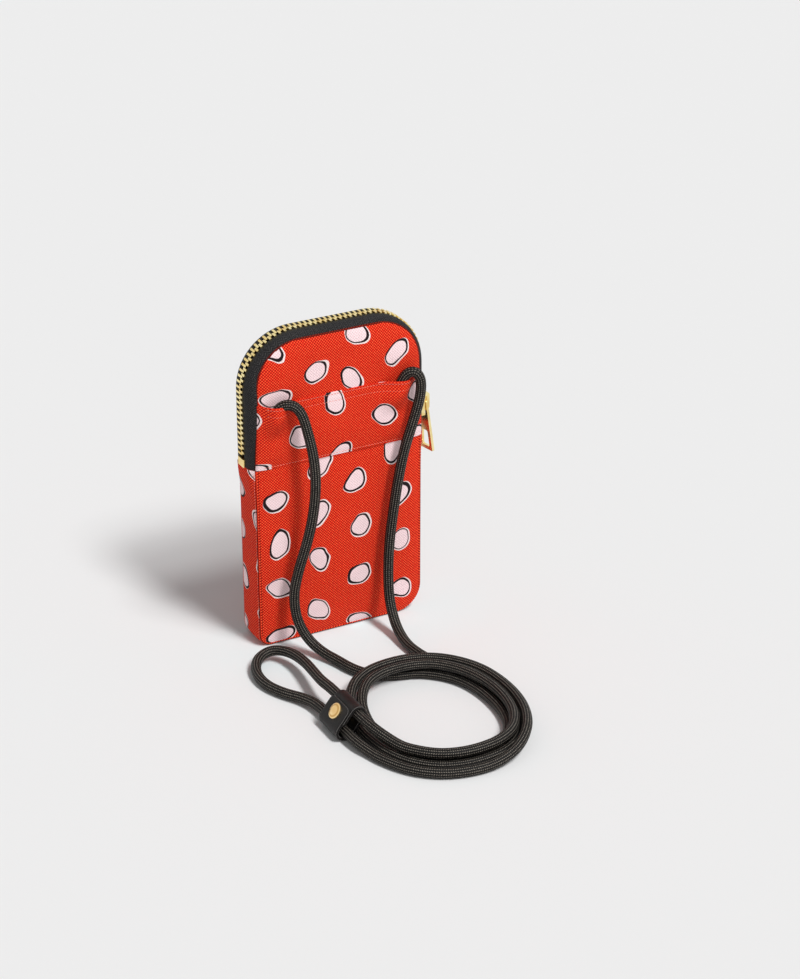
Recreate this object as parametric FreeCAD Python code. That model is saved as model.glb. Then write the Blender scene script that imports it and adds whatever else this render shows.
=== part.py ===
import FreeCAD, Part
import math
import os

# A slim zipped phone pouch on a long doubled neck cord.
# Millimetres. The origin is at the middle of the pouch's bottom face, +Z is up, +X is to the right,
# and -Y is the back of the pouch, which carries the sewn band that the cord comes out of.

# Pouch body
pouch_width = 105.0
pouch_height = 187.0
pouch_depth = 24.0
top_corner = 30.0
bottom_corner = 11.0
fabric = 0.9
foam = 2.4
lining = 0.5
layer_gap = 0.2

# The panels swell with their padding. Each ring is drawn in from the panel's seams and rises from its flat,
# and the panels' parts beside the band and the fold swell less.
swell_rings = [(1.0, 0.0), (5.0, 1.0), (13.0, 1.9), (24.0, 2.4)]
small_swell = 0.6
crease_corner = 4.0

# Zip opening: the chain stands proud of the panel edges on a convex gusset
zip_drop = 74.5
zip_bulge = 2.4
tape = 0.8
tape_edge = 2.3
tape_flat = 7.2
gusset_ramp = 24.0
fold_above_slider = 3.5
fold_gap = 0.3

# Zip teeth and stops
tooth_pitch = 3.1
tooth_thickness = 1.3
tooth_half_height = 1.3
tooth_head_half_height = 0.8
tooth_leg_end = 3.6
tooth_overlap = 0.9
tooth_fit = 0.05
stop_height = 4.8
stop_half_width = 3.7
stop_half_height = 1.6
top_stop_height = 3.0
top_stop_end = 4.4
top_stop_web = 0.3
row_gap = 0.4

# Slider and pull
slider_rise = 8.5
slider_length = 13.5
slider_wide = 5.7
slider_narrow = 4.9
slider_rail = 0.95
slider_flange = 1.3
channel_clearance = 0.45
tape_clearance = 0.25
wedge_half_width = 1.7
wedge_length = 6.5
slider_edge_round = 0.5
bail_half_length = 5.2
bail_leg = 1.8
bail_window = 3.6
bail_bar = 1.6
bail_half_width = 1.3
bail_round = 1.5
pull_thickness = 1.8
pull_length = 31.0
pull_top_half_width = 3.4
pull_bottom_half_width = 6.1
pull_eye_half_width = 1.9
pull_eye_end = 8.2
pull_window_start = 18.5
pull_window_margin = 2.6
pull_edge_round = 0.4
pull_bar_reach = 1.0
pull_turn = 10.0
pull_lean = 5.0

# Back band and the cord ends sewn in behind it
band_rise = 0.4
band_height = 37.3
band_mouth_depth = 8.2
band_mouth_half_width = 6.5
cord_diameter = 6.0
cord_fit = 0.25
cord_end_rise = 4.6
cord_end_out = 1.0

# Cord keeper: a leather strip round both strands, closed by a rivet between them
keeper_length = 20.5
keeper_middle_y = -114.0
keeper_tilt = 52.0
keeper_spread = 11.6
keeper_leather = 1.6
keeper_fit = 0.3
keeper_tab_start = -2.0
keeper_tab_past_rivet = 6.0
keeper_tab_round = 3.0
keeper_lower_x = -54.3
rivet_cap_radius = 4.5
rivet_cap_height = 1.7
rivet_rim = 0.6
rivet_post_radius = 1.5
rivet_foot_radius = 3.2
rivet_foot = 0.7
rivet_fit = 0.03

# Coil on the floor, an oval of two strands that make one turn and a half side by side
coil_middle_x = -2.4
coil_middle_y = -128.5
coil_half_x = 37.0
coil_half_y = 46.4
coil_squareness = 0.03
coil_gap = 0.55
coil_extra_lift = 0.25
coil_entry_left = 1.8
coil_entry_right = 2.45
coil_left_angles = (70.0, -500.0)
coil_right_angles = (38.0, -515.0)
coil_steps = 22
entry_left_end = 52.0
entry_right_end = 15.0
climb_angles = (-185.0, -240.0)
left_roll_angles = (-320.0, -362.0)
right_first_roll_angles = (-312.0, -347.0)
right_last_roll_angles = (-395.0, -450.0)
perch_angle = 60.0
lead_run = 12.0
loop_lead_run = 9.0

# Cord routes: the two drops from the band to the floor, and the loop beyond the keeper. The points of
# the drops are those for a band whose top edge is drawn_band_top up on a panel drawn_half_depth out, and
# follow the band from there.
drawn_band_top = 150.2
drawn_half_depth = 12.0
left_exit = (-41.5, -14.4, 140.5)
right_exit = (34.0, -14.4, 143.5)
left_drop = [
    (-41.3, -14.9, 146.9), (-37.5, -16.8, 151.0), (-31.8, -19.5, 150.7), (-28.2, -21.7, 146.0),
    (-26.2, -24.6, 136.2), (-24.4, -27.6, 123.2), (-23.8, -29.1, 107.0), (-25.6, -29.1, 88.0),
    (-29.2, -27.1, 68.9), (-33.9, -24.6, 51.4), (-36.7, -23.3, 35.4), (-35.5, -25.0, 20.0),
    (-31.5, -30.5, 9.5), (-26.8, -39.5, 4.2), (-22.0, -51.0, 3.0), (-19.8, -60.6, 3.0),
    (-16.0, -69.2, 3.0), (-9.8, -76.0, 3.0),
]
right_drop = [
    (34.1, -15.0, 151.2), (37.7, -16.9, 155.2), (43.0, -19.4, 155.2), (46.9, -21.1, 151.0),
    (46.8, -21.5, 141.5), (42.4, -21.8, 128.5), (36.0, -22.0, 112.5), (31.4, -22.2, 93.0),
    (28.3, -22.3, 74.0), (25.6, -22.3, 54.0), (24.4, -23.0, 36.0), (23.4, -26.0, 21.0),
    (23.0, -32.0, 10.5), (22.2, -40.5, 5.0), (21.2, -52.0, 3.0), (22.0, -63.5, 3.0), (24.4, -74.5, 3.0),
]
keeper_run_start = -135.0
keeper_run_end = -94.0
end_loop = [
    (-57.4, -80.5, 3.8), (-65.4, -68.0, 3.0), (-70.6, -53.5, 3.0), (-69.0, -38.5, 3.4),
    (-61.8, -28.0, 4.6), (-52.0, -26.8, 6.4), (-45.8, -36.5, 8.0), (-44.2, -51.0, 9.4),
    (-45.8, -67.0, 11.0), (-47.8, -81.0, 12.8),
]

# Worked out from the sizes above
cord_radius = cord_diameter / 2
half_width = pouch_width / 2
half_depth = pouch_depth / 2
seam_y = half_depth - fabric
padding_y = seam_y - foam
lining_y = padding_y - lining
inner_inset = fabric + layer_gap
lining_inset = inner_inset + lining
zip_end = pouch_height - zip_drop
slider_bottom = zip_end + slider_rise
slider_top = slider_bottom + slider_length
fold_height = slider_top + fold_above_slider
band_bottom = zip_end + band_rise
band_top = band_bottom + band_height
cord_end_bottom = band_bottom + cord_end_rise
channel_half_height = tooth_half_height + channel_clearance
slider_half_height = channel_half_height + slider_flange
chain_x = half_width + zip_bulge
bail_x = chain_x + slider_half_height
pull_axis_x = bail_x + bail_window / 2
pull_axis_z = slider_bottom + slider_length / 2
teeth_right_z = slider_bottom + wedge_length + row_gap
teeth_left_z = zip_end + stop_height + row_gap
arc_z = pouch_height - top_corner
arc_x = half_width - top_corner
keeper_bore = cord_radius + keeper_fit
keeper_outer = keeper_bore + keeper_leather
coil_pitch = cord_diameter + coil_gap
coil_lift = coil_pitch + coil_extra_lift
fold_low = fold_height - fold_gap / 2
fold_high = fold_height + fold_gap / 2

corner_axis = FreeCAD.Vector(0, -1, 0)
along_y = FreeCAD.Vector(0, 1, 0)


def vector(x, y, z):
    return FreeCAD.Vector(x, y, z)


def save(name, shape):
    if not shape.isValid():
        print("not valid:", name)
    shape.exportStep(os.path.join("parts", name + ".step"))
    print(name, "solids", len(shape.Solids), "volume", round(shape.Volume, 1))


def join(shapes):
    first = shapes[0]
    if len(shapes) > 1:
        first = first.multiFuse(shapes[1:])
    return first.removeSplitter()


def polygon(points):
    return Part.Face(Part.makePolygon(points + [points[0]]))


# A rounded rectangle that faces along Y, with its own radius for the lower and the upper corners
def rounded_face(side, bottom, top, lower, upper, y):
    slant = math.sqrt(0.5)

    def corner(center_x, center_z, radius, from_x, from_z, to_x, to_z):
        start = vector(center_x + radius * from_x, y, center_z + radius * from_z)
        middle_x = center_x + radius * slant * (from_x + to_x)
        middle_z = center_z + radius * slant * (from_z + to_z)
        end = vector(center_x + radius * to_x, y, center_z + radius * to_z)
        return start, Part.Arc(start, vector(middle_x, y, middle_z), end).toShape(), end

    corners = [
        corner(side - upper, top - upper, upper, 1, 0, 0, 1),
        corner(upper - side, top - upper, upper, 0, 1, -1, 0),
        corner(lower - side, bottom + lower, lower, -1, 0, 0, -1),
        corner(side - lower, bottom + lower, lower, 0, -1, 1, 0),
    ]
    edges = []
    for index, (start, arc, end) in enumerate(corners):
        edges.append(arc)
        following = corners[(index + 1) % len(corners)][0]
        edges.append(Part.LineSegment(end, following).toShape())
    return Part.Face(Part.Wire(edges))


# Flat layers: the rounded outline of the pouch, drawn in by an inset
def outline(inset, y):
    return rounded_face(
        half_width - inset, inset, pouch_height - inset, bottom_corner - inset, top_corner - inset, y
    )


def layer(inset, y_low, y_high):
    return outline(inset, y_low).extrude(vector(0, y_high - y_low, 0))


def slab(z_low, z_high):
    reach = pouch_width + pouch_height
    return Part.makeBox(2 * reach, 2 * reach, z_high - z_low, vector(-reach, -reach, z_low))


def below_fold(shape):
    return shape.common(slab(-pouch_height, fold_low))


def above_fold(shape):
    return shape.common(slab(fold_high, 2 * pouch_height))


# The swell of one part of a panel, on the outside of the flat at y
def swell(z_low, z_high, lower, upper, share, y):
    way = math.copysign(share, y)
    rings = []
    for inset, rise in swell_rings:
        drawn = inset * share
        height = z_high - z_low - 2 * drawn
        shrink = 1 - drawn / half_width
        low_round = min(lower * shrink, height / 3)
        high_round = min(upper * shrink, height / 3)
        ring = rounded_face(
            half_width - drawn, z_low + drawn, z_high - drawn, low_round, high_round, y + way * rise
        )
        rings.append(ring.OuterWire)
    return Part.makeLoft(rings, True, False)


def back_swells(y):
    return [
        swell(0, band_bottom, bottom_corner, crease_corner, 1, y),
        swell(band_top, pouch_height, crease_corner, top_corner, small_swell, y),
    ]


def front_swells(y):
    return [
        swell(0, fold_low, bottom_corner, crease_corner, 1, y),
        swell(fold_high, pouch_height, crease_corner, top_corner, small_swell, y),
    ]


# Strips that run round the edge of the pouch: a section drawn across the edge, with the distance out
# from the panel outline, is carried up the sides and round the corners
def section(points, side, z):
    return polygon([vector(side * (half_width + out), y, z) for y, out in points])


def side_strip(points, side, z_low, z_high):
    return section(points, side, z_low).extrude(vector(0, 0, z_high - z_low))


def corner_strip(points, center, radius, first_angle):
    face = polygon([vector(center.x + radius + out, y, center.z) for y, out in points])
    face.rotate(center, corner_axis, first_angle)
    return face.revolve(center, corner_axis, 90)


def level_strip(points, z, up):
    reach = arc_x if up > 0 else half_width - bottom_corner
    face = polygon([vector(-reach, y, z + up * out) for y, out in points])
    return face.extrude(vector(2 * reach, 0, 0))


def arch(points, z_low):
    right = vector(arc_x, 0, arc_z)
    left = vector(-arc_x, 0, arc_z)
    return join([
        side_strip(points, 1, z_low, arc_z),
        corner_strip(points, right, top_corner, 0),
        level_strip(points, pouch_height, 1),
        corner_strip(points, left, top_corner, 90),
        side_strip(points, -1, z_low, arc_z),
    ])


def trough(points, z_high):
    reach = half_width - bottom_corner
    left = vector(-reach, 0, bottom_corner)
    right = vector(reach, 0, bottom_corner)
    return [
        side_strip(points, -1, bottom_corner, z_high),
        corner_strip(points, left, bottom_corner, 180),
        level_strip(points, 0, -1),
        corner_strip(points, right, bottom_corner, 270),
        side_strip(points, 1, bottom_corner, z_high),
    ]


def gusset_section(rise):
    outer = [(-seam_y, 0), (-tape_flat, rise), (tape_flat, rise), (seam_y, 0)]
    inner = [(y, out - fabric) for y, out in reversed(outer)]
    return outer + inner


def make_gusset():
    ramp_start = zip_end - gusset_ramp
    pieces = trough(gusset_section(0), ramp_start)
    for side in (-1, 1):
        flat = section(gusset_section(0), side, ramp_start).OuterWire
        raised = section(gusset_section(zip_bulge + tape / 2), side, zip_end).OuterWire
        pieces.append(Part.makeLoft([flat, raised], True, True))
    return join(pieces)


def make_gusset_lining():
    points = [
        (-lining_y, -inner_inset), (lining_y, -inner_inset),
        (lining_y, -lining_inset), (-lining_y, -lining_inset),
    ]
    return join(trough(points, zip_end))


# Sets a point of a drop by the height of the band and, the more so the higher it is, by the panel's flat
def hung(point):
    x, y, z = point
    share = (band_top - cord_radius) / (drawn_band_top - cord_radius)
    out = (half_depth - drawn_half_depth) * z / drawn_band_top
    return (x, y - out, cord_radius + share * (z - cord_radius))


# The back band, with a swelling over each sewn-in cord end
def end_axis(exit_point):
    foot = vector(exit_point[0], -half_depth - cord_end_out, cord_end_bottom)
    return foot, vector(*exit_point) - foot


def cord_exits():
    return [hung(left_exit), hung(right_exit)]


def cord_end(exit_point):
    foot, rise = end_axis(exit_point)
    return Part.makeCylinder(cord_radius, rise.Length, foot, rise)


def swelling(exit_point, radius):
    foot, rise = end_axis(exit_point)
    over = rise.normalize() * fabric
    length = (vector(*exit_point) - foot).Length
    tube = Part.makeCylinder(radius, length + over.Length, foot, rise)
    return tube.fuse(Part.makeSphere(radius, foot))


def cord_bore(exit_point):
    foot, rise = end_axis(exit_point)
    direction = vector(rise.x, rise.y, rise.z).normalize()
    start = foot - direction * cord_fit
    return Part.makeCylinder(cord_radius + cord_fit, rise.Length + band_top - band_bottom, start, direction)


def behind(y):
    reach = pouch_width + pouch_height
    return Part.makeBox(2 * reach, reach, 2 * reach, vector(-reach, y, -reach))


def before(y):
    reach = pouch_width + pouch_height
    return Part.makeBox(2 * reach, reach, 2 * reach, vector(-reach, y - reach, -reach))


def make_back_panel():
    panel = layer(0, -half_depth, -seam_y).multiFuse(back_swells(-half_depth)).cut(back_swells(-seam_y))
    for exit_point in cord_exits():
        dent = swelling(exit_point, cord_radius + cord_fit + fabric).common(behind(-half_depth))
        panel = panel.fuse(dent).cut(cord_bore(exit_point))
    return panel.removeSplitter()


def make_back_padding():
    padding = layer(inner_inset, -seam_y, -padding_y).multiFuse(back_swells(-seam_y))
    for exit_point in cord_exits():
        padding = padding.cut(swelling(exit_point, cord_radius + cord_fit + fabric))
    return padding.removeSplitter()


def make_front_panel():
    panel = layer(0, seam_y, half_depth).multiFuse(front_swells(half_depth))
    return panel.cut(front_swells(seam_y)).removeSplitter()


def make_front_padding():
    return layer(inner_inset, padding_y, seam_y).multiFuse(front_swells(seam_y)).removeSplitter()


def make_band():
    band = Part.makeBox(
        pouch_width, fabric, band_top - band_bottom, vector(-half_width, -half_depth - fabric, band_bottom)
    )
    for exit_point in cord_exits():
        bump = swelling(exit_point, cord_radius + cord_fit + fabric).common(before(-half_depth))
        mouth_corner = vector(
            exit_point[0] - band_mouth_half_width, -half_depth - pouch_depth, band_top - band_mouth_depth
        )
        mouth = Part.makeBox(2 * band_mouth_half_width, pouch_depth, band_mouth_depth, mouth_corner)
        band = band.fuse(bump).cut(cord_bore(exit_point)).cut(mouth)
    return band.removeSplitter()


# Zip tapes, teeth and stops
def tape_section(side):
    outer = zip_bulge + tape / 2
    inner = zip_bulge - tape / 2
    points = [
        (tape_edge, outer), (tape_flat, outer), (seam_y, 0),
        (seam_y, -tape), (tape_flat, inner), (tape_edge, inner),
    ]
    return [(side * y, out) for y, out in points]


def tooth(side):
    slot = tape / 2 + tooth_fit
    upper = [
        (-tooth_overlap, tooth_head_half_height), (tape_edge / 2, tooth_half_height),
        (tooth_leg_end, tooth_half_height), (tooth_leg_end, slot), (tape_edge - tooth_fit, slot),
    ]
    lower = [(y, -out) for y, out in reversed(upper)]
    points = [(side * y, zip_bulge + out) for y, out in upper + lower]
    return side_strip(points, 1, -tooth_thickness / 2, tooth_thickness / 2)


def chain_lengths():
    arc = (top_corner + zip_bulge) * math.pi / 2
    return [arc_z - teeth_right_z, arc, 2 * arc_x, arc, arc_z - teeth_left_z]


# Moves a tooth from the right end of the chain along it by a distance
def along_chain(shape, distance):
    right_side, arc, top, _, _ = chain_lengths()
    piece = shape.copy()
    piece.translate(vector(0, 0, teeth_right_z + min(distance, right_side)))
    distance -= right_side
    if distance > 0:
        piece.rotate(vector(arc_x, 0, arc_z), corner_axis, 90 * min(distance / arc, 1))
    distance -= arc
    if distance > 0:
        piece.translate(vector(-min(distance, top), 0, 0))
    distance -= top
    if distance > 0:
        piece.rotate(vector(-arc_x, 0, arc_z), corner_axis, 90 * min(distance / arc, 1))
    distance -= arc
    if distance > 0:
        piece.translate(vector(0, 0, -distance))
    return piece


# Sorts a row of teeth by where they stand: right side, round the top, left side, and each side below
# the fold of the front flap
def tooth_row(side, first_distance):
    lengths = chain_lengths()
    total = sum(lengths)
    shape = tooth(side)
    groups = {"right_low": [], "right_high": [], "top": [], "left_high": [], "left_low": []}
    distance = first_distance
    while distance < total - tooth_thickness / 2:
        piece = along_chain(shape, distance)
        level = "low" if piece.CenterOfGravity.z < fold_height else "high"
        if distance < lengths[0]:
            groups["right_" + level].append(piece)
        elif distance > total - lengths[4]:
            groups["left_" + level].append(piece)
        else:
            groups["top"].append(piece)
        distance += tooth_pitch
    return groups


def make_bottom_stop(tapes):
    block = Part.makeBox(
        2 * stop_half_height, 2 * stop_half_width, stop_height,
        vector(-chain_x - stop_half_height, -stop_half_width, zip_end),
    )
    rounded = block.makeFillet(stop_half_height / 3, [e for e in block.Edges if is_along(e, vector(0, 0, 1))])
    for strip in tapes:
        rounded = rounded.cut(strip)
    return rounded


def is_along(edge, direction):
    line = edge.Vertexes[-1].Point - edge.Vertexes[0].Point
    return line.Length > 0 and abs(abs(line.normalize().dot(direction)) - 1) < 1e-6


def make_top_stops():
    slot = tape / 2 + tooth_fit
    bite = tape_edge - tooth_fit
    upper = [
        (bite - top_stop_web, tooth_half_height), (top_stop_end, tooth_half_height),
        (top_stop_end, slot), (bite, slot),
    ]
    lower = [(y, -out) for y, out in reversed(upper)]
    bottom = slider_bottom + wedge_half_width
    stops = []
    for side in (-1, 1):
        points = [(side * y, zip_bulge + out) for y, out in upper + lower]
        stops.append(side_strip(points, 1, bottom, bottom + top_stop_height))
    return Part.makeCompound(stops)


# Slider and pull, on the right side of the pouch
def upright_prism(points, x_low, x_high):
    face = polygon([vector(x_low, y, z) for y, z in points])
    return face.extrude(vector(x_high - x_low, 0, 0))


def mirrored(points):
    return points + [(-y, z) for y, z in reversed(points)]


def make_slider():
    waist = slider_bottom + slider_length / 2
    body = upright_prism(
        mirrored([(slider_wide, slider_bottom), (slider_wide, waist), (slider_narrow, slider_top)]),
        chain_x - slider_half_height, chain_x + slider_half_height,
    )
    body = body.makeFillet(slider_edge_round, body.Edges)
    channel = upright_prism(
        mirrored([
            (slider_wide - slider_rail, slider_bottom - slider_length),
            (slider_wide - slider_rail, waist - wedge_half_width),
            (slider_narrow - slider_rail, waist + wedge_half_width),
            (slider_narrow - slider_rail, slider_top + slider_length),
        ]),
        chain_x - channel_half_height, chain_x + channel_half_height,
    )
    slot_half = tape / 2 + tape_clearance
    slot = Part.makeBox(
        2 * slot_half, 4 * slider_wide, 3 * slider_length,
        vector(chain_x - slot_half, -2 * slider_wide, slider_bottom - slider_length),
    )
    wedge_low = slider_bottom + slider_edge_round
    wedge = upright_prism(
        [
            (-wedge_half_width, wedge_low), (wedge_half_width, wedge_low),
            (wedge_half_width, wedge_low + wedge_half_width), (0, slider_bottom + wedge_length),
            (-wedge_half_width, wedge_low + wedge_half_width),
        ],
        chain_x - channel_half_height - slider_flange / 2, chain_x + channel_half_height + slider_flange / 2,
    )
    return body.cut(channel).cut(slot).fuse(wedge).removeSplitter()


def make_bail():
    height = bail_window + bail_bar
    arch_block = Part.makeBox(
        height, 2 * bail_half_width, 2 * bail_half_length,
        vector(bail_x, -bail_half_width, pull_axis_z - bail_half_length),
    )
    cross_edges = [e for e in arch_block.Edges if is_along(e, along_y)]
    outer_edges = [e for e in cross_edges if e.CenterOfMass.x > bail_x + height / 2]
    arch_block = arch_block.makeFillet(bail_round, outer_edges)
    window = Part.makeBox(
        bail_window, 4 * bail_half_width, 2 * (bail_half_length - bail_leg),
        vector(bail_x, -2 * bail_half_width, pull_axis_z - bail_half_length + bail_leg),
    )
    return arch_block.cut(window)


# The pull hangs from its top bar, a little turned and leaning out: lengths run down from the pivot
def make_pull():
    low_x = pull_axis_x - pull_thickness / 2
    high_x = pull_axis_x + pull_thickness / 2

    def half_width_at(length):
        share = (length + pull_bar_reach) / (pull_length + pull_bar_reach)
        return pull_top_half_width + share * (pull_bottom_half_width - pull_top_half_width)

    def piece(lengths_and_widths):
        return upright_prism(mirrored([(w, pull_axis_z - l) for l, w in lengths_and_widths]), low_x, high_x)

    plate = piece([(-pull_bar_reach, pull_top_half_width), (pull_length, pull_bottom_half_width)])
    corners = [e for e in plate.Edges if is_along(e, vector(1, 0, 0))]
    plate = plate.makeFillet(pull_bar_reach, corners)
    eye = piece([(pull_bar_reach, pull_eye_half_width), (pull_eye_end, pull_eye_half_width)])
    eye = eye.makeFillet(pull_bar_reach / 2, [e for e in eye.Edges if is_along(e, vector(1, 0, 0))])
    window_end = pull_length - pull_window_margin
    window = piece([
        (pull_window_start, half_width_at(pull_window_start) - pull_window_margin),
        (window_end, half_width_at(window_end) - pull_window_margin),
    ])
    window = window.makeFillet(pull_bar_reach, [e for e in window.Edges if is_along(e, vector(1, 0, 0))])
    pull = plate.cut(eye).cut(window)
    rims = [e for e in pull.Edges if e.BoundBox.XLength < 1e-3]
    pull = pull.makeFillet(pull_edge_round, rims)
    pivot = vector(pull_axis_x, 0, pull_axis_z)
    pull.rotate(pivot, vector(0, 0, 1), pull_turn)
    pull.rotate(pivot, corner_axis, pull_lean)
    return pull


# Cord tubes: a round section along straight runs joined by tangent arcs
def rounded_route(points, name):
    vectors = [vector(*p) for p in points]
    edges = []
    radii = []
    start = vectors[0]
    for before_point, corner, after_point in zip(vectors, vectors[1:], vectors[2:]):
        arriving = corner - before_point
        leaving = after_point - corner
        turn = arriving.getAngle(leaving)
        setback = 0.45 * min(arriving.Length, leaving.Length)
        radii.append(round(setback / math.tan(turn / 2), 1))
        first = corner - arriving.normalize() * setback
        last = corner + leaving.normalize() * setback
        edges.append(Part.LineSegment(start, first).toShape())
        edges.append(tangent_arc(first, corner, last))
        start = last
    edges.append(Part.LineSegment(start, vectors[-1]).toShape())
    print(name, "radii", radii)
    return edges


def tangent_arc(first, corner, last):
    chord_middle = (first + last) * 0.5
    towards = corner - chord_middle
    half_chord = (last - first).Length / 2
    if towards.Length < 1e-4 * half_chord:
        return Part.LineSegment(first, last).toShape()
    half_turn = math.atan2(towards.Length, half_chord)
    rise = half_chord * math.tan(half_turn / 2)
    return Part.Arc(first, chord_middle + towards.normalize() * rise, last).toShape()


def tube(edges, name):
    path = Part.Wire(edges)
    start = edges[0].valueAt(edges[0].FirstParameter)
    direction = edges[0].tangentAt(edges[0].FirstParameter)
    ring = Part.Wire(Part.makeCircle(cord_radius, start, direction))
    shape = path.makePipeShell([ring], True, False)
    expected = math.pi * cord_radius ** 2 * path.Length
    print(name, "length", round(path.Length, 1), "volume ratio", round(shape.Volume / expected, 4))
    return shape


# The coil: each strand is an angle round an oval, with a lane out from it and a height
def ease(share):
    share = min(max(share, 0), 1)
    return share * share * (3 - 2 * share)


def between(angle, angles, first, last):
    return first + (last - first) * ease((angles[0] - angle) / (angles[0] - angles[1]))


def left_strand(angle):
    lane = between(angle, (coil_left_angles[0], entry_left_end), coil_entry_left, 0)
    height = cord_radius + between(angle, climb_angles, 0, coil_lift)
    if angle < left_roll_angles[0]:
        lean = math.radians(between(angle, left_roll_angles, 90, perch_angle))
        lane = coil_pitch * math.cos(lean)
        height = cord_radius + coil_lift * math.sin(lean)
    return lane, height


def right_strand(angle):
    lane = coil_pitch + between(angle, (coil_right_angles[0], entry_right_end), coil_entry_right, 0)
    height = cord_radius + between(angle, climb_angles, 0, coil_lift)
    if angle < right_first_roll_angles[0]:
        lean = between(angle, right_first_roll_angles, 90, perch_angle)
        lean = math.radians(between(angle, right_last_roll_angles, lean, 0))
        lane = coil_pitch + coil_pitch * math.cos(lean)
        height = cord_radius + coil_lift * math.sin(lean)
    return lane, height


def coil_point(strand, angle):
    lane, height = strand(angle)
    turned = math.radians(angle)
    swell = 1 - coil_squareness * math.cos(4 * turned)
    x = coil_middle_x + (coil_half_x * swell + lane) * math.cos(turned)
    y = coil_middle_y + (coil_half_y * swell + lane) * math.sin(turned)
    return vector(x, y, height)


def coil_heading(strand, angle):
    small = 0.05
    return (coil_point(strand, angle - small) - coil_point(strand, angle + small)).normalize()


# Two arcs from one point and heading to the next, meeting on a shared tangent
def biarc(start, start_heading, end, end_heading):
    span = end - start
    both = start_heading + end_heading
    spread = 2 * (1 - start_heading.dot(end_heading))
    reach = span.dot(both)
    if spread < 1e-9:
        arm = span.dot(span) / (4 * span.dot(end_heading))
    else:
        arm = (math.sqrt(reach * reach + spread * span.dot(span)) - reach) / spread
    first_corner = start + start_heading * arm
    last_corner = end - end_heading * arm
    meeting = (first_corner + last_corner) * 0.5
    return [tangent_arc(start, first_corner, meeting), tangent_arc(meeting, last_corner, end)]


def coil_edges(strand, angles):
    edges = []
    step = (angles[1] - angles[0]) / coil_steps
    for index in range(coil_steps):
        here = angles[0] + index * step
        there = here + step
        edges += biarc(
            coil_point(strand, here), coil_heading(strand, here),
            coil_point(strand, there), coil_heading(strand, there),
        )
    return edges


def spread_points(edges, spacing):
    points = []
    travelled = 0
    for edge in edges:
        count = max(2, int(edge.Length / spacing))
        for index in range(count):
            share = index / count
            at = edge.FirstParameter + share * (edge.LastParameter - edge.FirstParameter)
            points.append((travelled + share * edge.Length, edge.valueAt(at)))
        travelled += edge.Length
    return points


def report_gaps(routes, spacing=2.5):
    far_along = 6 * cord_diameter
    sampled = {name: spread_points(edges, spacing) for name, edges in routes.items()}
    names = list(sampled)
    for index, name in enumerate(names):
        for other in names[index:]:
            least = min(
                (a - b).Length
                for along_a, a in sampled[name] for along_b, b in sampled[other]
                if name != other or abs(along_a - along_b) > far_along
            )
            print("least gap", name, other, round(least - cord_diameter, 2))


# Cord keeper, in its own frame: strands along Y at 0 and keeper_spread along X, then tilted about Y
def keeper_oval(radius):
    side = Part.makeBox(keeper_spread, keeper_length, 2 * radius, vector(0, 0, -radius))
    near = Part.makeCylinder(radius, keeper_length, vector(0, 0, 0), along_y)
    far = Part.makeCylinder(radius, keeper_length, vector(keeper_spread, 0, 0), along_y)
    return side.multiFuse([near, far]).removeSplitter()


def rivet_cylinder(radius, low, high):
    return Part.makeCylinder(radius, high - low, vector(keeper_spread / 2, keeper_length / 2, low))


def set_keeper(shape):
    shape.rotate(vector(0, 0, 0), corner_axis, keeper_tilt)
    shape.translate(vector(keeper_lower_x, keeper_middle_y - keeper_length / 2, keeper_outer))
    return shape


def make_keeper_strap():
    tab_end = keeper_spread / 2 + keeper_tab_past_rivet
    tab = Part.makeBox(
        tab_end - keeper_tab_start, keeper_length, keeper_leather, vector(keeper_tab_start, 0, keeper_outer)
    )
    tab = tab.makeFillet(
        keeper_tab_round,
        [e for e in tab.Edges if is_along(e, vector(0, 0, 1)) and e.CenterOfMass.x > keeper_spread / 2],
    )
    strap = keeper_oval(keeper_outer).cut(keeper_oval(keeper_bore))
    roll = rolled_end()
    strap = strap.fuse(tab).fuse(roll).removeSplitter()
    post_hole = rivet_cylinder(rivet_post_radius + rivet_fit, -2 * keeper_outer, 2 * keeper_outer)
    foot_seat = rivet_cylinder(rivet_foot_radius + rivet_fit, -2 * keeper_outer, rivet_foot - keeper_outer)
    return strap.cut(post_hole).cut(foot_seat)


# The tab's root rolls down round the lower strand, so the leather is double there
def rolled_end():
    outer = Part.makeCylinder(keeper_outer + keeper_leather, keeper_length, vector(0, 0, 0), along_y)
    inner = Part.makeCylinder(keeper_outer, keeper_length, vector(0, 0, 0), along_y)
    quarter_corner = vector(keeper_tab_start - keeper_outer, 0, keeper_outer / 2)
    quarter = Part.makeBox(keeper_outer, keeper_length, 2 * keeper_outer, quarter_corner)
    return outer.cut(inner).common(quarter)


def make_rivet_cap():
    seat = keeper_outer + keeper_leather
    rim = rivet_cylinder(rivet_cap_radius, seat, seat + rivet_rim)
    crown = rivet_cap_height - rivet_rim
    ball_radius = (rivet_cap_radius ** 2 + crown ** 2) / (2 * crown)
    center = vector(keeper_spread / 2, keeper_length / 2, seat + rivet_cap_height - ball_radius)
    dome = Part.makeSphere(ball_radius, center).common(
        rivet_cylinder(rivet_cap_radius, seat + rivet_rim, seat + rivet_cap_height)
    )
    return rim.fuse(dome).removeSplitter()


def make_rivet_post():
    seat = keeper_outer + keeper_leather
    post = rivet_cylinder(rivet_post_radius, -keeper_outer, seat)
    foot = rivet_cylinder(rivet_foot_radius, -keeper_outer, rivet_foot - keeper_outer)
    return post.fuse(foot).removeSplitter()


# Where the keeper holds the two strands
def strand_in_keeper(upper, y):
    tilt = math.radians(keeper_tilt)
    along = keeper_spread if upper else 0
    return (keeper_lower_x + along * math.cos(tilt), y, keeper_outer + along * math.sin(tilt))


def lead(point, heading, distance):
    moved = point + heading * distance
    return (moved.x, moved.y, moved.z)


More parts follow.
